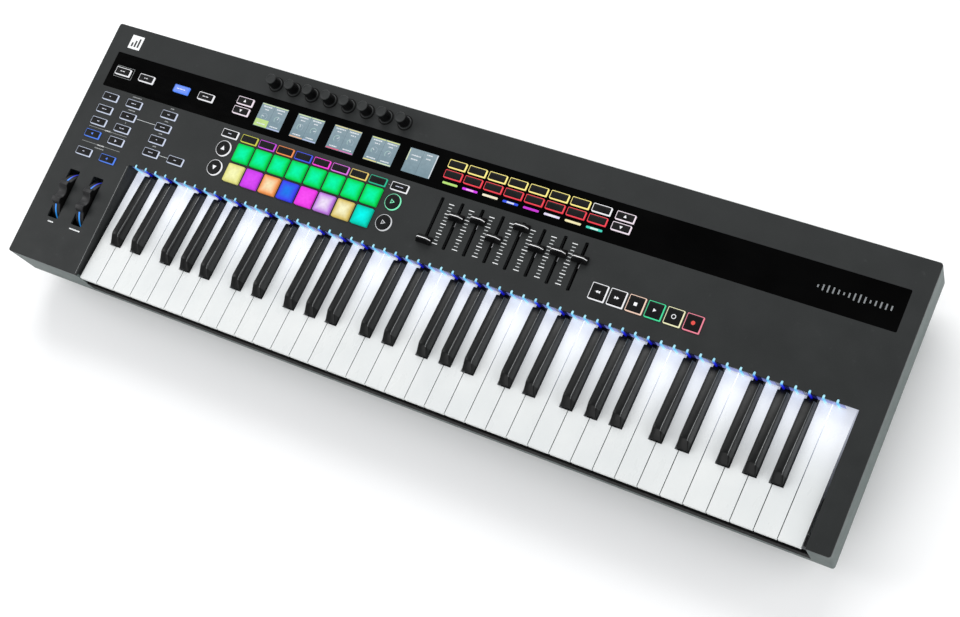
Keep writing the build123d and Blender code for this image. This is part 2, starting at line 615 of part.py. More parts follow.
with BuildPart() as keybed_frame:
    # folded sheet: front rail, floor, rear wall
    with BuildSketch(Plane.YZ.offset(FRAME_LEFT_X)):
        with BuildLine():
            folds = Polyline(
                (FRAME_FRONT_Y + 14, FRONT_RAIL_Z),
                (FRAME_FRONT_Y, FRONT_RAIL_Z),
                (FRAME_FRONT_Y, FRAME_FLOOR_Z),
                (FRAME_REAR_Y, FRAME_FLOOR_Z),
                (FRAME_REAR_Y, PIVOT_Z + 7),
            )
            offset(amount=FRAME_SHEET, side=Side.RIGHT)
        make_face()
    extrude(amount=FRAME_LENGTH)
    # rail that carries the contact board
    with BuildSketch(Plane.XY.offset(FRAME_FLOOR_Z)):
        with Locations((OPENING_MID_X, CONTACT_Y)):
            Rectangle(FRAME_LENGTH, 30)
            Rectangle(FRAME_LENGTH, 24, mode=Mode.SUBTRACT)
    extrude(amount=CONTACT_RAIL_TOP_Z - FRAME_FLOOR_Z)
    # ears that hold the pivot rod, in the gaps between octaves
    for x in EAR_XS:
        with BuildSketch(Plane.YZ.offset(x - EAR_WIDTH / 2)):
            with Locations((PIVOT_Y, PIVOT_Z)):
                Circle(6.0)
            with Locations((FRAME_REAR_Y, FRAME_FLOOR_Z)):
                Rectangle(FRAME_REAR_Y - PIVOT_Y + 6, PIVOT_Z - FRAME_FLOOR_Z, align=(Align.MAX, Align.MIN))
        extrude(amount=EAR_WIDTH)
    with BuildSketch(Plane.YZ.offset(FRAME_LEFT_X)):
        with Locations((PIVOT_Y, PIVOT_Z)):
            Circle(PIVOT_ROD_R)
    extrude(amount=FRAME_LENGTH, mode=Mode.SUBTRACT)
    # posts down to the case floor, with blind screw holes
    with BuildSketch(Plane.XY.offset(FOOT_HEIGHT + BELLY_FLOOR)):
        with Locations(*SCREW_PLACES):
            Circle(POST_R)
    extrude(amount=FRAME_FLOOR_Z - FOOT_HEIGHT - BELLY_FLOOR)
    with BuildSketch(Plane.XY.offset(FOOT_HEIGHT + BELLY_FLOOR)):
        with Locations(*SCREW_PLACES):
            Circle(SCREW_SHANK_R)
    extrude(amount=SCREW_LENGTH, mode=Mode.SUBTRACT)
keybed_frame.part.label = "keybed_frame"
export_step(keybed_frame.part, "parts/keybed_frame.step")

with BuildPart() as key_pivot_rod:
    with BuildSketch(Plane.YZ.offset(FRAME_LEFT_X)):
        with Locations((PIVOT_Y, PIVOT_Z)):
            Circle(PIVOT_ROD_R)
    extrude(amount=FRAME_LENGTH)
key_pivot_rod.part.label = "key_pivot_rod"
export_step(key_pivot_rod.part, "parts/key_pivot_rod.step")

with BuildPart() as key_contact_board:
    with BuildSketch(Plane.XY.offset(CONTACT_RAIL_TOP_Z)):
        with Locations((OPENING_MID_X, CONTACT_Y)):
            Rectangle(FRAME_LENGTH, 34)
    extrude(amount=BOARD_THICKNESS)
key_contact_board.part.label = "key_contact_board"
export_step(key_contact_board.part, "parts/key_contact_board.step")

DOME_BASE_Z = CONTACT_RAIL_TOP_Z + BOARD_THICKNESS
KEY_CENTRES = [PIPE_FIRST_X + PIPE_PITCH * i for i in range(KEY_COUNT)]

with BuildPart() as key_contact_strip:
    with BuildSketch(Plane.XY.offset(DOME_BASE_Z)):
        with Locations((OPENING_MID_X, CONTACT_Y)):
            Rectangle(FRAME_LENGTH - 6, 18)
    extrude(amount=1.2)
    with BuildSketch(Plane.XY.offset(DOME_BASE_Z + 1.2)):
        with Locations(*[(x, CONTACT_Y) for x in KEY_CENTRES]):
            RectangleRounded(8, 14, 3)
    extrude(amount=4.0, taper=18)
key_contact_strip.part.label = "key_contact_strip"
export_step(key_contact_strip.part, "parts/key_contact_strip.step")

with BuildPart() as key_stop_felts:
    with BuildSketch(Plane.XY.offset(FRONT_RAIL_Z + FRAME_SHEET)):
        with Locations((OPENING_MID_X, FRAME_FRONT_Y + 7)):
            Rectangle(FRAME_LENGTH - 4, 11)
    extrude(amount=2.6)
    with BuildSketch(Plane.XY.offset(FRAME_FLOOR_Z)):
        with Locations((OPENING_MID_X, -96)):
            Rectangle(FRAME_LENGTH - 4, 12)
    extrude(amount=4.0)
key_stop_felts.part.label = "key_stop_felts"
export_step(key_stop_felts.part, "parts/key_stop_felts.step")

# ---------------------------------------------------------------- buttons and pads


def push_control(places, size, corner, top, flange=FLANGE):
    """Square controls with a retaining flange under the panel, one at each place."""
    with BuildSketch(Plane.XY.offset(CONTROL_FOOT_Z)) as bodies:
        with Locations(*places):
            RectangleRounded(size[0], size[1], corner)
    extrude(bodies.sketch, amount=top - CONTROL_FOOT_Z)
    with BuildSketch(Plane.XY.offset(FLANGE_TOP_Z - FLANGE_THICKNESS)) as flanges:
        with Locations(*places):
            RectangleRounded(size[0] + 2 * flange, size[1] + 2 * flange, corner)
    extrude(flanges.sketch, amount=FLANGE_THICKNESS)


BUTTON_TOP_Z = PANEL_TOP_Z + BUTTON_PROUD
button_groups = {
    "function_buttons": FUNCTION_PLACES + STRIP_BUTTON_PLACES,
    "soft_buttons": SOFT_PLACES,
    "page_buttons": PAGE_PLACES,
    "fader_buttons": FADER_BUTTON_PLACES,
}
for name, places in button_groups.items():
    with BuildPart() as buttons:
        push_control(places, BUTTON_SIZE, BUTTON_CORNER_R, BUTTON_TOP_Z)
        chamfer(buttons.faces().group_by(Axis.Z)[-1].edges(), 0.5)
    buttons.part.label = name
    export_step(buttons.part, f"parts/{name}.step")

with BuildPart() as transport_buttons:
    push_control(TRANSPORT_PLACES, (TRANSPORT_SIZE, TRANSPORT_SIZE), 1.0, BUTTON_TOP_Z)
    chamfer(transport_buttons.faces().group_by(Axis.Z)[-1].edges(), 0.5)
transport_buttons.part.label = "transport_buttons"
export_step(transport_buttons.part, "parts/transport_buttons.step")

for row, places in PAD_PLACES.items():
    with BuildPart() as pads:
        push_control(places, (PAD_SIZE, PAD_SIZE), PAD_CORNER_R, PANEL_TOP_Z + PAD_PROUD, PAD_FLANGE)
        chamfer(pads.faces().group_by(Axis.Z)[-1].edges(), 0.8)
    pads.part.label = f"pads_{row}"
    export_step(pads.part, f"parts/pads_{row}.step")

with BuildPart() as round_buttons:
    with BuildSketch(Plane.XY.offset(CONTROL_FOOT_Z)):
        with Locations(*ROUND_BUTTON_PLACES):
            Circle(ROUND_BUTTON_R)
    extrude(amount=BUTTON_TOP_Z - CONTROL_FOOT_Z)
    with BuildSketch(Plane.XY.offset(FLANGE_TOP_Z - FLANGE_THICKNESS)):
        with Locations(*ROUND_BUTTON_PLACES):
            Circle(ROUND_BUTTON_R + FLANGE)
    extrude(amount=FLANGE_THICKNESS)
    chamfer(round_buttons.faces().group_by(Axis.Z)[-1].edges(), 0.5)
round_buttons.part.label = "round_buttons"
export_step(round_buttons.part, "parts/round_buttons.step")

with BuildPart() as pad_sensor_sheet:
    with BuildSketch(Plane.XY.offset(CONTROL_BOARD_TOP_Z)):
        with Locations(*PAD_PLACES["upper"], *PAD_PLACES["lower"]):
            Rectangle(PAD_SIZE - 4, PAD_SIZE - 4)
    extrude(amount=0.3)
pad_sensor_sheet.part.label = "pad_sensor_sheet"
export_step(pad_sensor_sheet.part, "parts/pad_sensor_sheet.step")

# ---------------------------------------------------------------- encoders

for index, (x, y) in enumerate(KNOB_PLACES, start=1):
    with BuildPart() as knob:
        # cap with a skirt, turned about the shaft axis
        with BuildSketch(Plane.XZ.offset(-y)):
            with BuildLine():
                Polyline(
                    (x + SHAFT_R + 2.4, KNOB_BOTTOM_Z),
                    (x + KNOB_SKIRT_R, KNOB_BOTTOM_Z),
                    (x + KNOB_SKIRT_R, KNOB_BOTTOM_Z + 0.8),
                    (x + KNOB_BODY_R, KNOB_BOTTOM_Z + KNOB_SKIRT_HEIGHT),
                    (x + KNOB_TOP_R, KNOB_TOP_Z - 0.8),
                    (x + KNOB_TOP_R - 0.8, KNOB_TOP_Z),
                    (x, KNOB_TOP_Z),
                    (x, KNOB_TOP_Z - KNOB_CROWN),
                    (x + SHAFT_R + PRESS_GAP, KNOB_TOP_Z - KNOB_CROWN),
                    (x + SHAFT_R + PRESS_GAP, KNOB_BOTTOM_Z + 2.2),
                    (x + SHAFT_R + 2.4, KNOB_BOTTOM_Z + 2.2),
                    close=True,
                )
            make_face()
        revolve(axis=Axis((x, y, 0), (0, 0, 1)))
        # steel shaft down into the encoder
        with BuildSketch(Plane.XY.offset(CONTROL_BOARD_TOP_Z + 1.0)):
            with Locations((x, y)):
                Circle(SHAFT_R)
        extrude(amount=KNOB_TOP_Z - KNOB_CROWN - 0.1 - CONTROL_BOARD_TOP_Z - 1.0)
    knob.part.label = f"encoder_knob_{index}"
    export_step(knob.part, f"parts/encoder_knob_{index}.step")

with BuildPart() as encoder_bodies:
    with BuildSketch(Plane.XY.offset(CONTROL_BOARD_TOP_Z)):
        with Locations(*KNOB_PLACES):
            Rectangle(ENCODER_BODY, ENCODER_BODY)
    extrude(amount=PANEL_BOTTOM_Z - 0.3 - CONTROL_BOARD_TOP_Z)
    with BuildSketch(Plane.XY.offset(PANEL_BOTTOM_Z - 0.3)):
        with Locations(*KNOB_PLACES):
            Circle(BUSHING_R)
    extrude(amount=KNOB_BOTTOM_Z + 1.4 - PANEL_BOTTOM_Z)
    with BuildSketch(Plane.XY.offset(CONTROL_BOARD_TOP_Z + 0.6)):
        with Locations(*KNOB_PLACES):
            Circle(SHAFT_R + SHAFT_CLEARANCE)
    extrude(amount=20, mode=Mode.SUBTRACT)
encoder_bodies.part.label = "encoder_bodies"
export_step(encoder_bodies.part, "parts/encoder_bodies.step")

# ---------------------------------------------------------------- faders

for index, (x, y) in enumerate(zip(FADER_XS, FADER_REST_Y), start=1):
    with BuildPart() as fader:
        # cap: a low saddle that narrows to a flat ridge
        with BuildSketch(Plane.YZ.offset(x - FADER_CAP[0] / 2)):
            with BuildLine():
                Polyline(
                    (y - FADER_CAP[1] / 2, FADER_CAP_BOTTOM_Z),
                    (y - FADER_CAP[1] / 2, FADER_CAP_BOTTOM_Z + 1.6),
                    (y - FADER_CAP_RIDGE / 2, FADER_CAP_TOP_Z),
                    (y + FADER_CAP_RIDGE / 2, FADER_CAP_TOP_Z),
                    (y + FADER_CAP[1] / 2, FADER_CAP_BOTTOM_Z + 1.6),
                    (y + FADER_CAP[1] / 2, FADER_CAP_BOTTOM_Z),
                    close=True,
                )
            make_face()
        extrude(amount=FADER_CAP[0])
        # socket for the lever, then the lever down through the slot
        with BuildSketch(Plane.XY.offset(FADER_CAP_BOTTOM_Z)):
            with Locations((x, y)):
                Rectangle(LEVER[0] + 2 * PRESS_GAP, LEVER[1] + 2 * PRESS_GAP)
        extrude(amount=3.0 + PRESS_GAP, mode=Mode.SUBTRACT)
        with BuildSketch(Plane.XY.offset(FADER_BODY_TOP_Z - 5.0)):
            with Locations((x, y)):
                Rectangle(*LEVER)
        extrude(amount=FADER_CAP_BOTTOM_Z + 3.0 - FADER_BODY_TOP_Z + 5.0)
    fader.part.label = f"fader_{index}"
    export_step(fader.part, f"parts/fader_{index}.step")

with BuildPart() as fader_bodies:
    with BuildSketch(Plane.XY.offset(FADER_BODY_TOP_Z)):
        with Locations(*[(x, FADER_MID_Y) for x in FADER_XS]):
            Rectangle(FADER_BODY[0], FADER_BODY[1])
    extrude(amount=-FADER_BODY[2])
    with BuildSketch(Plane.XY.offset(FADER_BODY_TOP_Z)):
        with Locations(*[(x, FADER_MID_Y) for x in FADER_XS]):
            Rectangle(LEVER[0] + 0.8, FADER_TRAVEL + LEVER[1] + 1.6)
    extrude(amount=-6.0, mode=Mode.SUBTRACT)
fader_bodies.part.label = "fader_bodies"
export_step(fader_bodies.part, "parts/fader_bodies.step")

# ---------------------------------------------------------------- wheels


def finger_wheel(x):
    """A wheel about the x axis with a finger notch between two ridges at its top."""
    with BuildPart() as wheel:
        with BuildSketch(Plane.YZ.offset(x - WHEEL_WIDTH / 2)):
            # the raised segment that carries the two ridges, then the round body
            with Locations((WHEEL_Y, WHEEL_AXIS_Z)):
                Circle(WHEEL_RIDGE_R)
            with Locations((WHEEL_Y, WHEEL_AXIS_Z + WHEEL_RIDGE_FOOT)):
                Rectangle(
                    3 * WHEEL_R, 3 * WHEEL_R, align=(Align.CENTER, Align.MAX), mode=Mode.SUBTRACT
                )
            with Locations((WHEEL_Y, WHEEL_AXIS_Z)):
                Circle(WHEEL_R)
            with Locations((WHEEL_Y, WHEEL_AXIS_Z + WHEEL_NOTCH_CENTRE)):
                Circle(WHEEL_NOTCH_R, mode=Mode.SUBTRACT)
            with Locations((WHEEL_Y, WHEEL_AXIS_Z)):
                Circle(WHEEL_AXLE_R + WHEEL_CLEARANCE, mode=Mode.SUBTRACT)
        extrude(amount=WHEEL_WIDTH)
    return wheel.part


with BuildPart() as pitch_wheel:
    add(finger_wheel(WHEEL_XS["pitch"]))
pitch_wheel.part.label = "pitch_wheel"
export_step(pitch_wheel.part, "parts/pitch_wheel.step")

with BuildPart() as mod_wheel:
    add(finger_wheel(WHEEL_XS["mod"]))
mod_wheel.part.label = "mod_wheel"
export_step(mod_wheel.part, "parts/mod_wheel.step")

BRACKET_FLOOR_Z = 22.0
BRACKET_DEPTH = 34.0
BRACKET_LEG_XS = (-446.0, -424.0)
BRACKET_SHEET = 2.0
BRACKET_GAP = 3.2  # from a wheel's face to the plate beside it
wheel_plate_xs = [x + side * (WHEEL_WIDTH / 2 + BRACKET_GAP) for x in WHEEL_XS.values() for side in (-1, 1)]

with BuildPart() as wheel_bracket:
    with BuildSketch(Plane.XY.offset(BRACKET_FLOOR_Z)):
        with Locations(((wheel_plate_xs[0] + wheel_plate_xs[-1]) / 2, WHEEL_Y)):
            Rectangle(wheel_plate_xs[-1] - wheel_plate_xs[0] + BRACKET_SHEET, BRACKET_DEPTH)
    extrude(amount=BRACKET_SHEET)
    # legs down to the case floor
    with BuildSketch(Plane.XY.offset(FOOT_HEIGHT + BELLY_FLOOR)):
        with Locations(*[(x, y) for x in BRACKET_LEG_XS for y in (WHEEL_Y - 11, WHEEL_Y + 11)]):
            Circle(4)
    extrude(amount=BRACKET_FLOOR_Z - FOOT_HEIGHT - BELLY_FLOOR)
    for x in wheel_plate_xs:
        with BuildSketch(Plane.YZ.offset(x - BRACKET_SHEET / 2)):
            with Locations((WHEEL_Y, BRACKET_FLOOR_Z)):
                Rectangle(BRACKET_DEPTH, WHEEL_AXIS_Z - BRACKET_FLOOR_Z, align=(Align.CENTER, Align.MIN))
            with Locations((WHEEL_Y, WHEEL_AXIS_Z)):
                Circle(10)
                Circle(WHEEL_AXLE_R, mode=Mode.SUBTRACT)
        extrude(amount=BRACKET_SHEET)
wheel_bracket.part.label = "wheel_bracket"
export_step(wheel_bracket.part, "parts/wheel_bracket.step")

# each pot sits beside its wheel and its shaft is the wheel's axle
with BuildPart() as wheel_pots:
    for x in WHEEL_XS.values():
        reach = WHEEL_WIDTH / 2 + BRACKET_GAP + BRACKET_SHEET / 2
        with BuildSketch(Plane.YZ.offset(x - reach)):
            with Locations((WHEEL_Y, WHEEL_AXIS_Z)):
                Circle(WHEEL_AXLE_R)
        extrude(amount=2 * reach)
        with BuildSketch(Plane.YZ.offset(x + reach)):
            with Locations((WHEEL_Y, WHEEL_AXIS_Z)):
                Rectangle(11, 13)
        extrude(amount=5.0)
wheel_pots.part.label = "wheel_pots"
export_step(wheel_pots.part, "parts/wheel_pots.step")

# ---------------------------------------------------------------- boards and rear sockets

with BuildPart() as control_board:
    with BuildSketch(Plane.XY.offset(CONTROL_BOARD_TOP_Z)):
        with Locations((BOARD_LEFT_X, BOARD_FRONT_Y)):
            Rectangle(BOARD_LENGTH, BOARD_DEPTH, align=(Align.MIN, Align.MIN))
        with Locations((BOARD_LEFT_X, BOARD_FRONT_Y)):
            Rectangle(BOARD_TAB[0], BOARD_TAB[1], align=(Align.MIN, Align.MAX))
        with Locations((FADER_XS[0] - FADER_PITCH / 2, BOARD_FRONT_Y)):
            Rectangle(FADER_COUNT * FADER_PITCH, 76, align=(Align.MIN, Align.MIN), mode=Mode.SUBTRACT)
    extrude(amount=-BOARD_THICKNESS)
control_board.part.label = "control_board"
export_step(control_board.part, "parts/control_board.step")

with BuildPart() as main_board:
    with BuildSketch(Plane.XY.offset(MAIN_BOARD_Z)):
        with Locations((-290.0, 98.0)):
            Rectangle(360, 84)
    extrude(amount=BOARD_THICKNESS)
    with BuildSketch(Plane.XY.offset(MAIN_BOARD_Z + BOARD_THICKNESS)):
        with Locations((-300, 80)):
            Rectangle(20, 20)
        with Locations((-240, 76)):
            Rectangle(14, 10)
        with Locations((-200, 84)):
            Rectangle(10, 22)
    extrude(amount=1.4)
main_board.part.label = "main_board"
export_step(main_board.part, "parts/main_board.step")

SOCKET_BLOCK_Z = MAIN_BOARD_Z + BOARD_THICKNESS + SOCKET_GAP
SOCKET_FACE_Y = CASE_REAR_Y - SOCKET_GAP


def socket_block(places, width, depth):
    """Housings that stand on the main board, each with a face plate that closes its part of the notch."""
    for block_depth, top_z in ((depth, SOCKET_BODY_TOP_Z), (SOCKET_PLATE, FLANGE_TOP_Z)):
        with BuildSketch(Plane.XY.offset(SOCKET_BLOCK_Z)) as housings:
            with Locations(*[(x, SOCKET_FACE_Y) for x, _ in places]):
                Rectangle(width - 2 * SOCKET_GAP, block_depth, align=(Align.CENTER, Align.MAX))
        extrude(housings.sketch, amount=top_z - SOCKET_BLOCK_Z)


def socket_bore(places, radius, depth):
    """Blind round bores cut forwards from the rear face."""
    with BuildSketch(rear_plane(SOCKET_FACE_Y)) as bores:
        with Locations(*places):
            Circle(radius)
    extrude(bores.sketch, amount=depth, mode=Mode.SUBTRACT)


with BuildPart() as rear_sockets:
    # power inlet with its centre pin
    socket_block([DC_PLACE], DC_WIDTH, 15)
    socket_bore([DC_PLACE], DC_R, SOCKET_DEPTH)
    with BuildSketch(rear_plane(SOCKET_FACE_Y - 1.0)):
        with Locations(DC_PLACE):
            Circle(DC_PIN_R)
    extrude(amount=SOCKET_DEPTH)
    # square data socket with its tongue
    socket_block([USB_PLACE], USB_WIDTH, 18)
    with BuildSketch(rear_plane(SOCKET_FACE_Y)):
        with Locations(USB_PLACE):
            RectangleRounded(*USB_SIZE, 0.8)
            Rectangle(*USB_TONGUE, mode=Mode.SUBTRACT)
    extrude(amount=SOCKET_DEPTH, mode=Mode.SUBTRACT)
    # round five-pin sockets, then pedal jacks
    socket_block(DIN_PLACES, DIN_WIDTH, 16)
    socket_bore(DIN_PLACES, DIN_R, SOCKET_DEPTH)
    socket_block(PEDAL_PLACES, PEDAL_WIDTH, PEDAL_BORE_DEPTH + 4)
    socket_bore(PEDAL_PLACES, PEDAL_BORE_R, PEDAL_BORE_DEPTH)
rear_sockets.part.label = "rear_sockets"
export_step(rear_sockets.part, "parts/rear_sockets.step")

with BuildPart() as power_button:
    with BuildSketch(rear_plane(CASE_REAR_Y - 0.3)):
        with Locations(POWER_PLACE):
            Circle(POWER_R)
    extrude(amount=12)
    with BuildSketch(rear_plane(CASE_REAR_Y - WALL - 0.6)):
        with Locations(POWER_PLACE):
            Circle(POWER_R + 1.2)
    extrude(amount=1.6)
power_button.part.label = "power_button"
export_step(power_button.part, "parts/power_button.step")
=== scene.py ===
"""Looks of the 61-key controller keyboard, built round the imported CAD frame.

Sizes and places are in millimetres, in the frame of the record; a Build turns them into metres.
"""

from math import cos, pi, radians, sin, sqrt, tan

import bpy
from mathutils import Matrix, Vector


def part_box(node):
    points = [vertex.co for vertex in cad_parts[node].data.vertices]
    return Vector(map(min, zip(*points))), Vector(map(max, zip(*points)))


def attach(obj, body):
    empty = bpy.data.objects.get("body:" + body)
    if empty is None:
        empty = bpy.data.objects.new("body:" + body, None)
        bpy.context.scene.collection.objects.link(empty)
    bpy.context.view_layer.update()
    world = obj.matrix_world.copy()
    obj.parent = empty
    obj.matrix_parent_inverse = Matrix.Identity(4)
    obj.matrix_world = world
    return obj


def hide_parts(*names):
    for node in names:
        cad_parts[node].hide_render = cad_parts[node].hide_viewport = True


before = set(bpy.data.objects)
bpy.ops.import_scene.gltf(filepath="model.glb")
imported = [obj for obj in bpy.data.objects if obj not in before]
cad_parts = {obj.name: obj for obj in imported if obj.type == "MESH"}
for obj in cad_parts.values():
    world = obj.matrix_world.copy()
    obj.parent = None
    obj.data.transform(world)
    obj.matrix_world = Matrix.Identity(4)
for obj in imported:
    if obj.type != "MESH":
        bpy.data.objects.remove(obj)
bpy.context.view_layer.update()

MM = 0.001

# ---- places, as in the CAD part

PANEL_Z = 82.0
STRIP_Z = 81.7
BUTTON = (20.5, 8.9)
BUTTON_TOP = 84.0
BUTTON_FOOT = 79.3
COLUMNS = (-452.6, -418.6, -368.6, -334.3)
ROWS = (59.4, 43.5, 28.0, 12.1, -10.3)
STRIP_BUTTON_Y = 92.0
SOFT_Y = 60.1
GRID_XS = [-257.6 + 23.85 * i for i in range(8)]
SOFT_XS = [-283.8, *GRID_XS, -63.7]
PAD_SIZE = 20.8
PAD_TOP = 84.4
PAD_YS = {"upper": 42.6, "lower": 18.7}
ROUND_R = 9.1
ROUND_PLACES = ((-283.8, 42.3), (-283.7, 18.9), (-64.1, 43.0), (-64.1, 19.0))
PAIR_YS = (101.0, 89.3)
PAGE_YS = (100.4, 88.7)
PAGE_XS = (-284.1, 181.5)
FADER_BUTTON_XS = [-12.2 + 23.9 * i for i in range(8)]
TRANSPORT_XS = [185.9 + 20.35 * i for i in range(6)]
TRANSPORT_Y = 19.6
TRANSPORT_SIZE = 17.4
DISPLAY_COUNT = 5
DISPLAY_XS = [-245.9 + 47.85 * i for i in range(DISPLAY_COUNT)]
DISPLAY_Y = 91.9
DISPLAY_VIEW = (34.6, 27.4)
KNOB_XS = [-257.4 + 23.87 * i for i in range(8)]
KNOB_Y = 129.1
FADER_XS = [-12.6 + 23.9 * i for i in range(8)]
FADER_TICK_YS = [15.3 + 3.69 * i for i in range(13)]
WHEEL_XS = {"pitch_wheel": -452.4, "mod_wheel": -418.3}
WHEEL_Y = -63.5
WHEEL_Z = 59.5
KEYS_LEFT_X = -386.4
OCTAVE_WIDTH = 164.5
PIPE_PITCH = OCTAVE_WIDTH / 12
PIPE_COUNT = 61
BLACK_NOTES = (1, 3, 6, 8, 10)
# centre of each black key from the left edge of its octave
BLACK_CENTRES = {"c": 22.0, "d": 49.9, "f": 91.0, "g": 118.0, "a": 144.6}
OCTAVES = 5
KEY_FRONT_Y = -145.0
KEY_TOP_Z = 76.8
KEY_FALL = tan(radians(4.8))


def rgb(red, green, blue):
    """A colour given as 0-255 display values, as linear light."""
    made = []
    for value in (red, green, blue):
        level = value / 255
        made.append(level / 12.92 if level <= 0.04045 else ((level + 0.055) / 1.055) ** 2.4)
    return tuple(made)


def mix(low, high, share):
    """A colour part of the way from one to another."""
    return tuple(a + (b - a) * share for a, b in zip(low, high))


DARK = (0.0, 0.0, 0.0)


# ---- camera, light and floor


def add_object(name, data):
    """A new object in the scene."""
    made = bpy.data.objects.new(name, data)
    bpy.context.scene.collection.objects.link(made)
    return made


CAMERA_PLACE = (0.7839, -0.3420, 1.6112)
CAMERA_AZIMUTH = 66.47
CAMERA_ELEVATION = 63.21
CAMERA_ROLL = -45.10
CAMERA_LENS = 64.37


def add_camera():
    """The camera of the main view, rolled so that the keys run corner to corner."""
    azimuth, elevation = radians(CAMERA_AZIMUTH), radians(CAMERA_ELEVATION)
    back = Vector((sin(azimuth) * cos(elevation), -cos(azimuth) * cos(elevation), sin(elevation)))
    turn = (-back).to_track_quat("-Z", "Y").to_matrix() @ Matrix.Rotation(radians(CAMERA_ROLL), 3, "Z")
    data = bpy.data.cameras.new("camera")
    data.lens = CAMERA_LENS
    data.sensor_width = 36.0
    data.clip_start = 0.01
    camera = add_object("camera", data)
    camera.matrix_world = Matrix.Translation(CAMERA_PLACE) @ turn.to_4x4()
    bpy.context.scene.camera = camera


def add_softbox(name, place, aim, size, watts):
    """A rectangular studio light at place, facing aim."""
    data = bpy.data.lights.new(name, "AREA")
    data.shape = "RECTANGLE"
    data.size, data.size_y = size
    data.energy = watts
    facing = (Vector(aim) - Vector(place)).to_track_quat("-Z", "Y").to_matrix().to_4x4()
    add_object(name, data).matrix_world = Matrix.Translation(place) @ facing


def add_world(level):
    """An even pale surround."""
    world = bpy.data.worlds.new("studio")
    world.use_nodes = True
    background = world.node_tree.nodes["Background"]
    background.inputs["Color"].default_value = (*rgb(250, 252, 255), 1)
    background.inputs["Strength"].default_value = level
    bpy.context.scene.world = world


add_camera()
add_world(0.42)
add_softbox("rear_softbox", (-0.5, 2.0, 1.7), (0, 0, 0), (2.4, 1.4), 58)
add_softbox("left_softbox", (-2.1, -0.3, 1.5), (0, 0, 0), (1.4, 2.0), 26)
add_softbox("right_softbox", (2.2, 0.3, 1.2), (0.2, 0, 0.05), (1.6, 1.6), 24)
add_softbox("front_softbox", (0.3, -2.2, 1.3), (0, 0, 0), (2.4, 1.2), 20)
bpy.context.scene.view_settings.view_transform = "Standard"

# ---- materials


class Finish:
    """A Principled material that is put together a node at a time."""

    def __init__(self, name, **sockets):
        self.material = bpy.data.materials.new(name)
        self.material.use_nodes = True
        self.nodes = self.material.node_tree.nodes
        self.links = self.material.node_tree.links
        self.shader = self.nodes["Principled BSDF"]
        for socket, value in sockets.items():
            self.shader.inputs[socket.replace("_", " ")].default_value = value
        self.place = self.nodes.new("ShaderNodeTexCoord").outputs["Object"]

    def node(self, kind, inputs=(), **settings):
        """Add one node, with its settings, and link or set its inputs."""
        made = self.nodes.new("ShaderNode" + kind)
        for setting, value in settings.items():
            setattr(made, setting, value)
        for socket, value in dict(inputs).items():
            if isinstance(value, bpy.types.NodeSocket):
                self.links.new(value, made.inputs[socket])
            else:
                made.inputs[socket].default_value = value
        return made

    def stretched(self, scale):
        """The place on the object, scaled differently along each axis."""
        return self.node("Mapping", {"Vector": self.place, "Scale": scale}).outputs["Vector"]

    def noise(self, size_mm, detail=2.0, place=None, roughness=0.5):
        """Noise whose blobs are about size_mm across."""
        inputs = {"Vector": place or self.place, "Scale": 1 / (size_mm * MM), "Detail": detail}
        return self.node("TexNoise", {**inputs, "Roughness": roughness}).outputs["Fac"]

    def spread(self, value, low, high, low_in=0.3, high_in=0.7):
        """A value stretched over a new range."""
        inputs = {"Value": value, "From Min": low_in, "From Max": high_in, "To Min": low, "To Max": high}
        return self.node("MapRange", inputs).outputs["Result"]

    def blend(self, share, low, high):
        """A colour between two others, each a colour or a socket."""
        inputs = {"Fac": share, "Color1": low, "Color2": high}
        for key in ("Color1", "Color2"):
            if isinstance(inputs[key], tuple):
                inputs[key] = (*inputs[key][:3], 1)
        return self.node("MixRGB", inputs).outputs["Color"]

    def colour(self, value):
        """Send a colour socket to the shader."""
        self.links.new(value, self.shader.inputs["Base Color"])

    def rough(self, value):
        """Send a roughness socket to the shader."""
        self.links.new(value, self.shader.inputs["Roughness"])

    def bump(self, height, depth_mm, strength=1.0):
        """Add a bump; calling it again puts the new one on top of the last."""
        below = self.shader.inputs["Normal"].links
        inputs = {"Height": height, "Distance": depth_mm * MM, "Strength": strength}
        if below:
            inputs["Normal"] = below[0].from_socket
        made = self.node("Bump", inputs)
        self.links.new(made.outputs["Normal"], self.shader.inputs["Normal"])

    def tint(self):
        """The colour painted on the mesh."""
        return self.node("Attribute", attribute_name="tint").outputs["Color"]


def moulded(name, low, high, rough, grain_mm=0.45, grain_depth=0.03, smudge=0.06, specular=0.5, wear=None):
    """Moulded plastic: fine spark-eroded grain, slow colour drift, handling marks and paler worn spots."""
    low, high = rgb(*low), rgb(*high)
    finish = Finish(name, Roughness=rough, Specular_IOR_Level=specular)
    drift = finish.spread(finish.noise(38, 4), 0, 1)
    speckle = finish.spread(finish.noise(grain_mm * 2, 1), 0, 0.35)
    shade = finish.blend(drift, low, high)
    shade = finish.blend(speckle, shade, mix(low, high, 1.6))
    if wear:
        rubbed = finish.spread(finish.noise(9, 6, roughness=0.7), 0, 1, 0.62, 0.74)
        shade = finish.blend(rubbed, shade, rgb(*wear))
    finish.colour(shade)
    handled = finish.noise(16, 5, roughness=0.65)
    finish.rough(finish.spread(handled, rough - smudge, rough + smudge))
    finish.bump(finish.noise(grain_mm, 2), grain_depth, 0.6)
    return finish.material


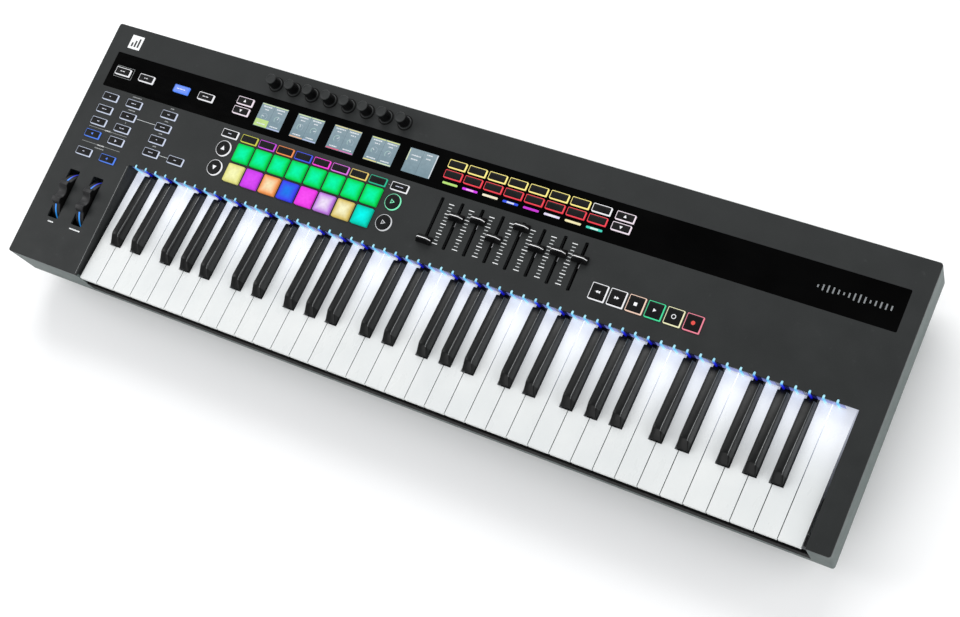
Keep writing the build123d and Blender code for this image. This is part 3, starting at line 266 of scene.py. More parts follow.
def glossy(name, low, high, rough, specular=0.5):
    """Polished plastic with faint wipe marks and a very slight ripple."""
    finish = Finish(name, Roughness=rough, Specular_IOR_Level=specular)
    drift = finish.spread(finish.noise(60, 3), 0, 1)
    finish.colour(finish.blend(drift, rgb(*low), rgb(*high)))
    wiped = finish.noise(14, 6, finish.stretched((0.35, 1.2, 1.0)), 0.7)
    finish.rough(finish.spread(wiped, rough * 0.7, rough * 1.8))
    finish.bump(finish.noise(25, 1), 0.02, 0.4)
    return finish.material


def brushed(name, low, high, rough):
    """Drawn or plated metal with fine lines along X and a few dull patches."""
    finish = Finish(name, Roughness=rough, Metallic=1.0)
    lines = finish.noise(0.35, 3, finish.stretched((0.03, 1.0, 1.0)))
    patches = finish.spread(finish.noise(12, 5), 0, 1)
    finish.colour(finish.blend(finish.spread(lines, 0, 1), rgb(*low), rgb(*high)))
    finish.rough(finish.spread(patches, rough, rough + 0.15))
    finish.bump(lines, 0.01, 0.5)
    return finish.material


def glowing(name, level, body=0.12, rough=0.35, grain_mm=0.8, skin=0.02, specular=0.2):
    """Translucent plastic or rubber lit from inside, in the colour painted on the mesh."""
    finish = Finish(name, Roughness=rough, Emission_Strength=level, Specular_IOR_Level=specular)
    tint = finish.tint()
    cloud = finish.spread(finish.noise(3.5, 4), 0, 1)
    lit = finish.blend(cloud, tint, finish.blend(0.14, tint, DARK))
    finish.links.new(lit, finish.shader.inputs["Emission Color"])
    finish.colour(finish.blend(body, (skin,) * 3, tint))
    finish.rough(finish.spread(finish.noise(6, 4), rough - 0.08, rough + 0.1))
    finish.bump(finish.noise(grain_mm, 2), 0.02, 0.5)
    return finish.material


def printed(name):
    """Screen-printed ink in the colour painted on the mesh, a little broken up by the grain below."""
    finish = Finish(name, Roughness=0.5)
    broken = finish.spread(finish.noise(0.6, 3), 0, 0.28)
    finish.colour(finish.blend(broken, finish.tint(), (0.05, 0.05, 0.05)))
    finish.rough(finish.spread(finish.noise(5, 3), 0.42, 0.6))
    finish.bump(finish.noise(0.5, 2), 0.01, 0.5)
    return finish.material


def woven_felt(name, low, high):
    """Pressed felt with tangled fibres."""
    finish = Finish(name, Roughness=0.95, Sheen_Weight=0.4)
    fibres = finish.noise(0.5, 8, finish.stretched((0.4, 1.6, 1.0)), 0.75)
    finish.colour(finish.blend(finish.spread(fibres, 0, 1), rgb(*low), rgb(*high)))
    finish.rough(finish.spread(finish.noise(2, 4), 0.85, 1.0))
    finish.bump(fibres, 0.25, 0.8)
    return finish.material


def circuit(name):
    """A green circuit board with copper tracks under the solder mask."""
    finish = Finish(name, Roughness=0.35)
    cells = finish.node("TexBrick", {"Vector": finish.place, "Scale": 90.0}, offset=0.35)
    tracks = finish.spread(cells.outputs["Fac"], 0, 1, 0.2, 0.8)
    finish.colour(finish.blend(tracks, rgb(12, 66, 40), rgb(58, 128, 74)))
    finish.rough(finish.spread(finish.noise(8, 4), 0.28, 0.5))
    finish.bump(tracks, 0.03, 0.7)
    return finish.material


# where the painted glow of pipe light on the white keys begins and where it is full
PAINTED_GLOW_FRONT_Y, PAINTED_GLOW_REAR_Y = -118.0, -20.0


def white_key_plastic_with_painted_glow():
    """Bright, slightly warm key plastic with a satin gloss, faint sink marks, finger polish and a painted
    glow at the rear.
    """
    finish = Finish("white_key_plastic_with_painted_glow", Roughness=0.3, Coat_Weight=0.2, Coat_Roughness=0.12)
    shade = finish.spread(finish.noise(55, 3), 0, 1)
    finish.colour(finish.blend(shade, rgb(204, 207, 207), rgb(212, 214, 213)))
    polish = finish.noise(18, 5, finish.stretched((1.0, 0.4, 1.0)), 0.6)
    finish.rough(finish.spread(polish, 0.22, 0.42))
    finish.bump(finish.noise(0.9, 2), 0.006, 0.4)
    finish.bump(finish.noise(30, 1), 0.05, 0.25)
    # painted light: an emission glow that rises towards the rear of the keys stands for the pale blue light
    # the light pipes spill there
    along = finish.node("SeparateXYZ", {"Vector": finish.place}).outputs["Y"]
    painted_glow = finish.spread(along, 0.0, 1.0, PAINTED_GLOW_FRONT_Y * MM, PAINTED_GLOW_REAR_Y * MM)
    painted_glow = finish.node("Math", {0: painted_glow, 1: 2.2}, operation="POWER").outputs["Value"]
    lit = finish.blend(painted_glow, DARK, rgb(176, 180, 194))
    finish.links.new(lit, finish.shader.inputs["Emission Color"])
    finish.shader.inputs["Emission Strength"].default_value = 1.0
    return finish.material


# colours as 0-255 display values
PANEL = moulded("panel_plastic", (30, 32, 32), (36, 38, 38), 0.5, wear=(43, 45, 45), specular=0.2)
SHELL = moulded("case_plastic", (80, 90, 88), (91, 101, 99), 0.55, wear=(112, 121, 119), specular=0.35)
GLOSS = glossy("gloss_strip_plastic", (2, 2, 2), (5, 5, 5), 0.14, 0.03)
WHITE_KEY = white_key_plastic_with_painted_glow()
BLACK_KEY = moulded("black_key_plastic", (7, 8, 8), (12, 13, 13), 0.38, 0.35, 0.02, 0.08, 0.22, (20, 21, 21))
# painted sheen: a paler copy of the black key plastic for the keys' flanks
BLACK_SIDE_PAINTED_SHEEN = moulded("black_key_side_painted_sheen", (24, 25, 25), (34, 35, 35), 0.34, 0.35, 0.02, 0.08, 0.35)
# painted highlight: a pale, glossy copy of the black key plastic for the right edge of the keys' tops
BLACK_EDGE_PAINTED_HIGHLIGHT = moulded("black_key_edge_painted_highlight", (88, 90, 90), (108, 110, 110), 0.2, 0.6, 0.01, 0.05, 0.8)
CAP_BLACK = moulded("cap_plastic", (4, 4, 5), (9, 9, 10), 0.42, 0.4, 0.03, 0.1, 0.15)
KNOB_BLACK = moulded("knob_plastic", (5, 5, 6), (11, 11, 12), 0.45, 0.5, 0.05, 0.12, 0.15)
KNOB_TOP = moulded("knob_top_plastic", (32, 34, 34), (39, 41, 41), 0.5, 0.35, 0.03, specular=0.2)
SKIRT_GREY = moulded("knob_skirt_plastic", (38, 40, 40), (48, 50, 50), 0.42, 0.35, 0.02, specular=0.2)
# near-black plastic, also used as painted shade: the skin over the case front under the keys and the ring
# round each knob
BLACK_AND_PAINTED_SHADE = moulded("black_plastic_and_painted_shade", (2, 2, 2), (5, 5, 5), 0.7, 0.5, 0.03, specular=0.15)
WHEEL_BLACK = moulded("wheel_rubber", (24, 24, 25), (38, 38, 39), 0.5, 0.6, 0.05, 0.1, 0.3, (52, 52, 52))
SOCKET = moulded("socket_plastic", (16, 16, 17), (28, 28, 30), 0.4, 0.35, 0.02)
RUBBER = moulded("foot_rubber", (20, 20, 20), (34, 34, 34), 0.8, 0.8, 0.08)
CONTACT_RUBBER = moulded("contact_rubber", (122, 126, 132), (142, 146, 152), 0.6, 0.6, 0.05)
FILM = glossy("sensor_film", (22, 24, 24), (40, 42, 42), 0.3)
FELT = woven_felt("stop_felt", (24, 24, 26), (44, 44, 47))
STEEL = brushed("plated_steel", (160, 162, 164), (200, 202, 204), 0.32)
ROD_STEEL = brushed("drawn_steel", (190, 190, 192), (222, 222, 224), 0.2)
BOARD = circuit("circuit_board")
RIM_GLOW = glowing("rim_glow", 1.05)
PAD_GLOW = glowing("pad_glow", 1.02, body=0.0, rough=0.5, grain_mm=0.5, skin=0.001, specular=0.03)
PIPE_GLOW = glowing("pipe_glow", 1.0, body=0.15, rough=0.2)
SCREEN_GLOW = glowing("screen_glow", 0.95, body=0.02, rough=0.14, grain_mm=4)
INK_AND_PAINTED_HIGHLIGHT = printed("panel_ink_and_painted_highlight")


def floor_material():
    """A pale studio sweep with the faintest unevenness."""
    finish = Finish("floor_paper", Roughness=0.9, Specular_IOR_Level=0.1)
    finish.colour(finish.blend(finish.spread(finish.noise(400, 3), 0, 1), (0.93,) * 3, (0.95,) * 3))
    finish.bump(finish.noise(2, 3), 0.02, 0.3)
    return finish.material


def repaint(node, material):
    """Give a kept CAD node its finish."""
    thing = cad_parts[node]
    if not thing.material_slots:
        thing.data.materials.append(material)
    for holder in thing.material_slots:
        holder.material = material


KEPT = {
    SHELL: ("lower_case",),
    PANEL: ("top_panel",),
    GLOSS: ("display_window",),
    RUBBER: ("rubber_feet",),
    STEEL: ("case_screws", "keybed_frame", "wheel_bracket"),
    ROD_STEEL: ("key_pivot_rod",),
    BOARD: ("main_board", "control_board", "key_contact_board"),
    CONTACT_RUBBER: ("key_contact_strip",),
    FELT: ("key_stop_felts",),
    SOCKET: ("rear_sockets", "wheel_pots", "encoder_bodies", "fader_bodies", "display_modules"),
    FILM: ("pad_sensor_sheet",),
    WHITE_KEY: ("key_top_c", *[f"keys_{note}" for note in "cdefgab"]),
    CAP_BLACK: ("power_button",),
}
for material, nodes in KEPT.items():
    for node in nodes:
        repaint(node, material)

# ---- mesh building


def rounded_ring(x, y, width, depth, radius, z, steps=3):
    """Points round a rounded rectangle at height z, anticlockwise from its front right corner."""
    radius = max(min(radius, width / 2 - 0.01, depth / 2 - 0.01), 0.02)
    points = []
    for corner, (side, end) in enumerate(((1, -1), (1, 1), (-1, 1), (-1, -1))):
        for step in range(steps + 1):
            angle = radians(90 * (corner - 1 + step / steps))
            points.append((
                x + side * (width / 2 - radius) + radius * cos(angle),
                y + end * (depth / 2 - radius) + radius * sin(angle),
                z,
            ))
    return points


def round_ring(x, y, radius, z, steps=40, flute=0.0, flutes=0):
    """Points round a circle at height z, with flutes cut into it if asked."""
    points = []
    for step in range(steps):
        angle = 2 * pi * step / steps
        reach = radius - flute * (0.5 + 0.5 * cos(angle * flutes))
        points.append((x + reach * cos(angle), y + reach * sin(angle), z))
    return points


PLAIN = (0.5, 0.5, 0.5)  # tint of a face whose material doesn't use it


class Build:
    """Collects points and faces in millimetres, each face with a material and a tint per corner."""

    def __init__(self):
        self.points = []
        self.faces = []
        self.paints = []
        self.tints = []

    def add_points(self, points):
        """Add points and return their numbers."""
        first = len(self.points)
        self.points.extend(points)
        return list(range(first, len(self.points)))

    def face(self, corners, paint, tints):
        """Add one face; tints is one colour or a colour for each corner."""
        if not isinstance(tints[0], tuple):
            tints = [tints] * len(corners)
        self.faces.append(corners)
        self.paints.append(paint)
        self.tints.append(tints)

    def stack(self, rings, paints=0, tints=PLAIN):
        """Join rings of points into one closed skin, from the bottom up.

        paints is one material, or one for the foot, each band between two rings and the top.
        tints is one colour, or one for each ring.
        """
        bands = len(rings) - 1
        if isinstance(paints, int):
            paints = [paints] * (bands + 2)
        if not isinstance(tints[0], tuple):
            tints = [tints] * len(rings)
        numbers = [self.add_points(ring) for ring in rings]
        count = len(rings[0])
        self.face(numbers[0][::-1], paints[0], tints[0])
        for band in range(bands):
            low, high = numbers[band], numbers[band + 1]
            for i in range(count):
                j = (i + 1) % count
                shades = [tints[band]] * 2 + [tints[band + 1]] * 2
                self.face([low[i], low[j], high[j], high[i]], paints[band + 1], shades)
        self.face(numbers[-1], paints[-1], tints[-1])

    def slab(self, outline, low, high, tint, paint=0):
        """A thin flat shape: an outline of (x, y) points, anticlockwise, from z low to z high."""
        rings = [[(x, y, z) for x, y in outline] for z in (low, high)]
        self.stack(rings, paint, tint)

    def bar(self, x, y, width, depth, z, tint, paint=0, thick=0.08):
        """A thin flat rectangle centred on (x, y), standing thick above z."""
        half, deep = width / 2, depth / 2
        corners = [(x - half, y - deep), (x + half, y - deep), (x + half, y + deep), (x - half, y + deep)]
        self.slab(corners, z, z + thick, tint, paint)

    def tube(self, rings, steps, paint, tint):
        """Join rings of points into a hollow hoop, and return the numbers of each ring's points."""
        sets = [self.add_points(ring) for ring in rings]
        count = len(rings[0])
        for side, one in enumerate(sets):
            two = sets[(side + 1) % len(sets)]
            for i in range(steps):
                j = (i + 1) % count
                self.face([one[i], one[j], two[j], two[i]], paint, tint)
        return sets

    def hoop(self, x, y, outer, inner, z, tint, paint=0, thick=0.08, start=0.0, end=360.0, steps=32):
        """A thin flat ring, or part of one, between two angles in degrees."""
        closed = end - start >= 360
        count = steps if closed else steps + 1
        angles = [radians(start + (end - start) * i / steps) for i in range(count)]
        rings = [
            [(x + radius * cos(a), y + radius * sin(a), height) for a in angles]
            for radius, height in ((outer, z), (outer, z + thick), (inner, z + thick), (inner, z))
        ]
        sets = self.tube(rings, steps, paint, tint)
        if not closed:
            self.face([ring[0] for ring in sets], paint, tint)
            self.face([ring[-1] for ring in sets][::-1], paint, tint)

    def piece(self, name, body, materials, slot, *replaced, sharp=35.0):
        """Make the object, ride it on its body and hide the CAD nodes it stands for."""
        mesh = bpy.data.meshes.new(name)
        mesh.from_pydata([(x * MM, y * MM, z * MM) for x, y, z in self.points], [], self.faces)
        for material in materials:
            mesh.materials.append(material)
        mesh.polygons.foreach_set("material_index", self.paints)
        layer = mesh.color_attributes.new("tint", "FLOAT_COLOR", "CORNER")
        flat = [part for shades in self.tints for shade in shades for part in (*shade, 1.0)]
        layer.data.foreach_set("color", flat)
        mesh.shade_smooth()
        mesh.set_sharp_from_angle(angle=radians(sharp))
        mesh.update()
        made = add_object(name, mesh)
        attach(made, body)
        if replaced:
            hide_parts(*replaced)
        return made


# ---- floor

FLOOR_HALF = 6.0
floor_corners = [(x * FLOOR_HALF, y * FLOOR_HALF, 0) for x, y in ((-1, -1), (1, -1), (1, 1), (-1, 1))]
floor_mesh = bpy.data.meshes.new("floor")
floor_mesh.from_pydata(floor_corners, [], [(0, 1, 2, 3)])
floor_mesh.materials.append(floor_material())
add_object("floor", floor_mesh)

# ---- glow colours

WHITE = rgb(238, 239, 242)
LAVENDER = rgb(212, 221, 242)
SOFT_BLUE = rgb(84, 136, 250)
YELLOW = rgb(255, 240, 140)
RED = rgb(235, 60, 75)
SOFT_RIMS = [
    WHITE, rgb(200, 200, 70), rgb(200, 70, 220), rgb(238, 140, 75), rgb(60, 80, 225),
    rgb(255, 60, 220), rgb(220, 110, 225), rgb(235, 205, 110), rgb(30, 180, 140), WHITE,
]
PAD_TINTS = {  # (edge, centre) of each pad, as display values
    "upper": [((0, 226, 88), (0, 255, 176))] * 8,
    "lower": [
        ((236, 232, 140), (255, 255, 190)), ((212, 66, 245), (226, 78, 255)),
        ((255, 160, 90), (255, 235, 190)), ((66, 70, 250), (34, 124, 245)),
        ((246, 64, 240), (255, 80, 250)), ((200, 130, 235), (245, 230, 255)),
        ((226, 201, 110), (255, 250, 205)), ((0, 212, 184), (0, 255, 246)),
    ],
}
LED_TINTS = [rgb(*shade) for shade in (
    (190, 235, 120), (225, 50, 250), (255, 245, 215), (40, 84, 250),
    (215, 45, 225), (238, 228, 255), (255, 245, 190), (60, 220, 195),
)]
LED_CENTRES = {
    1: rgb(255, 190, 250), 3: rgb(225, 235, 255), 5: rgb(250, 248, 255), 7: rgb(225, 250, 245),
}
TRANSPORT_RIMS = [
    WHITE, WHITE, rgb(240, 205, 185), rgb(60, 215, 150), rgb(236, 234, 190), rgb(235, 130, 150),
]

# ---- buttons

RIM, CAP, MARK = 0, 1, 2
BUTTON_PAINTS = (RIM_GLOW, CAP_BLACK, RIM_GLOW)


def button(build, ring, glow, lit=None, rim=0.8, crown=0.58):
    """One push button: a glowing base with a black cap set into its top.

    ring(inset, z) gives the outline drawn in by inset at height z. lit is the colour of a cap that glows
    too, and crown is how bright the ring on top is beside the walls.
    """
    pale = mix(DARK, glow, crown)
    deep = mix(glow, DARK, 0.2)
    top = BUTTON_TOP
    rings = [
        ring(0.35, BUTTON_FOOT), ring(0.0, BUTTON_FOOT + 0.5), ring(0.0, top - 0.75), ring(0.3, top - 0.45),
        ring(rim - 0.1, top - 0.42), ring(rim, top - 0.62), ring(rim + 0.2, top - 0.3),
        ring(rim + 0.55, top - 0.04), ring(rim + 1.1, top),
    ]
    cap = RIM if lit else CAP
    shade = lit or glow
    paints = [CAP, RIM, RIM, RIM, RIM, CAP, cap, cap, cap, cap]
    build.stack(rings, paints, [deep, deep, glow, pale, pale, pale, shade, shade, shade])


def oblong(x, y, width=BUTTON[0], depth=BUTTON[1]):
    """The outline of a rectangular button at (x, y)."""
    return lambda inset, z: rounded_ring(x, y, width - 2 * inset, depth - 2 * inset, 0.9 - inset * 0.3, z)


def disc(x, y):
    """The outline of a round button at (x, y)."""
    return lambda inset, z: round_ring(x, y, ROUND_R - inset, z, 48)


def dashes(build, x, y, widths, glow, depth=0.75, gap=0.9):
    """A short row of bars that stands for a legend."""
    left = x - (sum(widths) + gap * (len(widths) - 1)) / 2
    for width in widths:
        build.bar(left + width / 2, y, width, depth, BUTTON_TOP, glow, MARK)
        left += width + gap


def triangle(build, x, y, size, heading, glow, z=BUTTON_TOP):
    """A filled triangle that points along heading, in degrees from +X."""
    turn = radians(heading)
    outline = []
    for along, across in ((0.62, 0.0), (-0.42, 0.56), (-0.42, -0.56)):
        a, c = along * size, across * size
        outline.append((x + a * cos(turn) - c * sin(turn), y + a * sin(turn) + c * cos(turn)))
    build.slab(outline, z, z + 0.08, glow, MARK)


def legend_widths(seed, count=2):
    """Uneven bar widths for the legend of one button."""
    return [1.6 + ((seed * 7 + i * 5) % 4) * 0.7 for i in range(count)]


def button_piece(build, kind):
    """Make the caps of one kind of button into a piece that stands for that kind's node."""
    node = f"{kind}_buttons"
    build.piece(f"{kind}_button_caps", node, BUTTON_PAINTS, "button", node)


LEGEND = rgb(206, 210, 226)

functions = Build()
for column, x in enumerate(COLUMNS):
    for row, y in enumerate(ROWS):
        if (column == 2 and row == 4) or (column == 3 and row != 3):
            continue
        blue = (column, row) in ((0, 3), (1, 4))
        button(functions, oblong(x, y), SOFT_BLUE if blue else LAVENDER)
        if (column, row) == (0, 3):
            triangle(functions, x, y, 2.6, 180, SOFT_BLUE)
        elif (column, row) == (1, 3):
            triangle(functions, x, y, 2.6, 0, LEGEND)
        elif (column, row) == (0, 4):
            functions.bar(x, y, 2.6, 0.7, BUTTON_TOP, LEGEND, MARK)
        elif (column, row) == (1, 4):
            functions.bar(x, y, 2.8, 0.7, BUTTON_TOP, SOFT_BLUE, MARK)
            functions.bar(x, y, 0.7, 2.8, BUTTON_TOP, SOFT_BLUE, MARK)
        else:
            dashes(functions, x, y, legend_widths(column * 5 + row, 1 + (row + column) % 2), LEGEND)
LIT_CAP = rgb(104, 140, 235)
for column, x in enumerate(COLUMNS):
    lit = column == 2
    glow, cap = (SOFT_BLUE, LIT_CAP) if lit else (WHITE, None)
    button(functions, oblong(x, STRIP_BUTTON_Y), glow, cap, crown=1.0)
    dashes(functions, x, STRIP_BUTTON_Y, (3.2, 4.0, 2.4) if lit else legend_widths(column + 31), WHITE)
button_piece(functions, "function")

softs = Build()
for i, x in enumerate(SOFT_XS):
    button(softs, oblong(x, SOFT_Y), SOFT_RIMS[i], crown=0.95)
    if x not in GRID_XS:
        dashes(softs, x, SOFT_Y, (5.0, 3.4) if i else (4.2,), LEGEND)
button_piece(softs, "soft")

pages = Build()
for x in PAGE_XS:
    for y, heading in zip(PAGE_YS, (90, 270)):
        button(pages, oblong(x, y), mix(WHITE, rgb(240, 190, 220), 0.3), crown=1.0)
        triangle(pages, x, y, 3.0, heading, WHITE)
button_piece(pages, "page")

uppers = Build()
for row, y in enumerate(PAIR_YS):
    for i, x in enumerate(FADER_BUTTON_XS):
        glow = RED if row else (WHITE if i == 7 else YELLOW)
        button(uppers, oblong(x, y), glow, crown=1.0)
button_piece(uppers, "fader")

rounds = Build()
HOLLOW = (0.004, 0.004, 0.004)
ROUND_GLOWS = (WHITE, WHITE, rgb(130, 240, 190), rgb(205, 207, 210))
for i, (x, y) in enumerate(ROUND_PLACES):
    button(rounds, disc(x, y), ROUND_GLOWS[i], rim=0.7, crown=1.0)
    if i < 2:
        triangle(rounds, x, y, 4.6, 270 if i else 90, WHITE)
    else:
        triangle(rounds, x, y, 4.6, 0, ROUND_GLOWS[i])
        triangle(rounds, x - 0.2, y, 2.7, 0, HOLLOW, BUTTON_TOP + 0.02)
button_piece(rounds, "round")

transport = Build()
y = TRANSPORT_Y
for i, (x, glow) in enumerate(zip(TRANSPORT_XS, TRANSPORT_RIMS)):
    button(transport, oblong(x, y, TRANSPORT_SIZE, TRANSPORT_SIZE), glow, crown=1.0)
    if i < 2:
        for shift in (-1.2, 1.2):
            triangle(transport, x + shift, y, 2.6, 180 if i == 0 else 0, WHITE)
    elif i == 2:
        transport.bar(x, y, 3.4, 3.4, BUTTON_TOP, WHITE, MARK)
    elif i == 3:
        triangle(transport, x, y, 3.2, 0, WHITE)
    elif i == 4:
        transport.hoop(x, y, 2.4, 1.75, BUTTON_TOP, WHITE, MARK)
    else:
        dot = [p[:2] for p in round_ring(x, y, 2.1, 0, 28)]
        transport.slab(dot, BUTTON_TOP, BUTTON_TOP + 0.08, rgb(220, 70, 60), MARK)
button_piece(transport, "transport")

# ---- pads


PAD_PROFILE = (  # (inset, z, share of the centre colour)
    (0.3, BUTTON_FOOT, 0), (0.0, 79.8, 0), (0.0, 83.7, 0), (0.35, 84.15, 0), (0.9, 84.28, 0.05),
    (2.0, 84.3, 0.2), (3.6, 84.33, 0.45), (5.4, 84.36, 0.72), (7.4, 84.38, 0.92), (9.2, PAD_TOP, 1),
)


def pad(build, x, y, edge, centre):
    """One rubber pad, softly crowned, brighter where the lamp under it sits."""
    rings, tints = [], []
    for inset, z, share in PAD_PROFILE:
        size = PAD_SIZE - 2 * inset
        rings.append(rounded_ring(x, y, size, size, 1.4 - inset * 0.1, z, 4))
        tints.append(mix(edge, centre, share))
    tints[:3] = [mix(edge, DARK, 0.4)] * 3
    tints[4] = mix(edge, DARK, 0.12)
    build.stack(rings, 0, tints)


for row, y in PAD_YS.items():
    pads = Build()
    for x, (edge, centre) in zip(GRID_XS, PAD_TINTS[row]):
        pad(pads, x, y, rgb(*edge), rgb(*centre))
    pads.piece(f"pads_{row}_rubber", f"pads_{row}", (PAD_GLOW,), "pad", f"pads_{row}")

# ---- encoder knobs

KNOB_PROFILE = (  # (radius, z, flute depth)
    (6.8, 82.62, 0.0), (7.25, 82.7, 0.0), (7.3, 83.2, 0.0), (7.1, 83.6, 0.0), (6.5, 83.8, 0.0),
    (6.3, 84.1, 0.1), (6.25, 84.9, 0.3), (6.0, 95.9, 0.3), (5.95, 96.7, 0.12), (5.75, 97.2, 0.0),
    (5.4, 97.5, 0.0), (4.9, 97.5, 0.0), (4.6, 97.38, 0.0), (2.0, 97.42, 0.0),
)
KNOB_FLUTES = 22
KNOB_STEPS = 132
GRIP, SKIRT, CROWN = 0, 1, 2
KNOB_PAINTS = [SKIRT] * 5 + [GRIP] * 4 + [CROWN] * 6
KNOB_MATERIALS = (KNOB_BLACK, SKIRT_GREY, KNOB_TOP)

for i, x in enumerate(KNOB_XS, 1):
    knob = Build()
    rings = [round_ring(x, KNOB_Y, r, z, KNOB_STEPS, flute, KNOB_FLUTES) for r, z, flute in KNOB_PROFILE]
    knob.stack(rings, KNOB_PAINTS)
    knob.piece(f"encoder_knob_{i}_grip", f"encoder_knob_{i}", KNOB_MATERIALS, "knob", f"encoder_knob_{i}")

# ---- fader caps

CAP_DEEP = 9.0
CAP_STATIONS = (-8.75, -8.45, -5.5, -5.0, 5.0, 5.5, 8.45, 8.75)
CAP_TOPS = (85.0, 85.8, 89.9, 90.2, 90.2, 89.9, 85.8, 85.0)
CAP_BASE_Z = 83.0
CAP_LINE_SIDE = 7  # the side of each section that carries the printed line
BODY, LINE, LEVER, YOKE = 0, 1, 2, 3
FADER_MATERIALS = (CAP_BLACK, INK_AND_PAINTED_HIGHLIGHT, ROD_STEEL, BLACK_AND_PAINTED_SHADE)
LINE_TINT = rgb(240, 240, 240)
LEVER_SIZE, LEVER_ZS = (1.6, 4.0), (74.5, 84.0)
GLINT_SIZE, GLINT_ZS, GLINT_SHIFT = (0.5, 5.6), (80.4, 81.4), (1.25, -6.6)
YOKE_SIZE, YOKE_ZS, YOKE_SHIFT_Y = (3.0, 12.4), (79.9, 80.5), -3.4


def fader_cap(build, x, y):
    """A long cap across the slot, with sloping ends, drawn-in sides and a white line on top."""
    rings = []
    for station, top in zip(CAP_STATIONS, CAP_TOPS):
        pull = 0.4 if abs(station) > 8.6 else 0.0
        rise = top - CAP_BASE_Z
        half_base = CAP_DEEP / 2 - pull
        section = [
            (half_base - 0.3, 0.0), (half_base, 0.3), (half_base - 0.3, min(1.1, rise * 0.5)),
            (half_base - 1.5, rise * 0.55), (2.2, rise * 0.84), (1.9, rise - 0.25), (1.5, rise - 0.03),
            (0.42, rise), (-0.42, rise), (-1.5, rise - 0.03), (-1.9, rise - 0.25), (-2.2, rise * 0.84),
            (-half_base + 1.5, rise * 0.55), (-half_base + 0.3, min(1.1, rise * 0.5)),
            (-half_base, 0.3), (-half_base + 0.3, 0.0),
        ]
        rings.append([(x + station, y + across, CAP_BASE_Z + up) for across, up in section])
    before = len(build.faces)
    build.stack(rings, BODY)
    sides = len(rings[0])
    for band in range(1, len(rings) - 2):
        build.paints[before + 1 + band * sides + CAP_LINE_SIDE] = LINE


def fader_places():
    """Each fader's place along its slot, read from its CAD node."""
    places = []
    for i, x in enumerate(FADER_XS, 1):
        low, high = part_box(f"fader_{i}")
        places.append((i, x, (low.y + high.y) / 2 / MM))
    return places


for i, x, y in fader_places():
    fader = Build()
    fader_cap(fader, x, y)
    fader.stack([rounded_ring(x, y, *LEVER_SIZE, 0.2, z) for z in LEVER_ZS], LEVER)
    shift_x, shift_y = GLINT_SHIFT
    fader.stack([rounded_ring(x + shift_x, y + shift_y, *GLINT_SIZE, 0.2, z) for z in GLINT_ZS], LEVER)
    fader.stack([rounded_ring(x, y + YOKE_SHIFT_Y, *YOKE_SIZE, 0.3, z) for z in YOKE_ZS], YOKE)
    for face, paint in enumerate(fader.paints):
        if paint == LINE:
            fader.tints[face] = [LINE_TINT] * len(fader.faces[face])
    fader.piece(f"fader_{i}_grip", f"fader_{i}", FADER_MATERIALS, "fader_cap", f"fader_{i}")

# ---- wheels

WHEEL_R = 30.4
RIDGE_R = 33.2
RIDGE_HALF_ANGLE = 23.0
RIDGE_SLOPE = 4.5
NOTCH_R = 8.5
NOTCH_CENTRE = 35.5
WHEEL_HALF_WIDTH = 5.4
GLOW_FROM, GLOW_TO = 28.5, 66.0
VIOLET_BLUE = rgb(70, 80, 225)
BRIGHT_BLUE = rgb(70, 150, 250)
CYAN_BLUE = rgb(40, 150, 240)
RUBBER_BAND, LIGHT, DISH = 0, 1, 2
WHEEL_PAINTS = [DISH] * 4 + [RUBBER_BAND] * 5 + [DISH] * 4
WHEEL_MATERIALS = (WHEEL_BLACK, RIM_GLOW, BLACK_AND_PAINTED_SHADE)
AXLE_R, AXLE_HALF, AXLE_STEPS = 7, 6.0, 24


def wheel_reach(angle):
    """Radius of the wheel's outline at an angle from the top, in degrees."""
    angle = abs((angle + 180) % 360 - 180)
    fall = min(max((angle - RIDGE_HALF_ANGLE) / RIDGE_SLOPE, 0), 1)
    reach = RIDGE_R + (WHEEL_R - RIDGE_R) * fall * fall * (3 - 2 * fall)
    turn = radians(angle)
    if NOTCH_CENTRE * sin(turn) < NOTCH_R and angle < 90:
        near = NOTCH_CENTRE * cos(turn) - sqrt(NOTCH_R**2 - (NOTCH_CENTRE * sin(turn)) ** 2)
        reach = min(reach, near)
    return reach


def smooth_reach(angle, spread=1.3):
    """The outline's radius, softened over a small angle."""
    samples = [wheel_reach(angle + spread * step / 3) for step in range(-3, 4)]
    return sum(samples) / len(samples)


def wheel_ring(x, inset, across):
    """The wheel's outline at a place along its axle."""
    points = []
    for step in range(240):
        angle = 1.5 * step
        reach = smooth_reach(angle) - inset
        turn = radians(angle)
        points.append((x + across, WHEEL_Y + reach * sin(turn), WHEEL_Z + reach * cos(turn)))
    return points


def wheel(build, x):
    """A performance wheel with rounded shoulders, a finger notch, side dishes and two light lines."""
    half = WHEEL_HALF_WIDTH
    profile = (
        (22.0, -half + 1.6), (11.0, -half + 1.2), (4.0, -half + 0.1), (0.9, -half), (0.25, -half + 0.35),
        (0.0, -half + 1.1), (0.0, half - 1.1), (0.25, half - 0.35), (0.9, half), (4.0, half - 0.1),
        (11.0, half - 1.2), (22.0, half - 1.6),
    )
    rings = [wheel_ring(x, inset, across) for inset, across in profile]
    build.stack([ring[::-1] for ring in rings], WHEEL_PAINTS)
    for side, shades in ((1, (BRIGHT_BLUE, VIOLET_BLUE)), (-1, (BRIGHT_BLUE, CYAN_BLUE))):
        light_line(build, x, side, *shades)


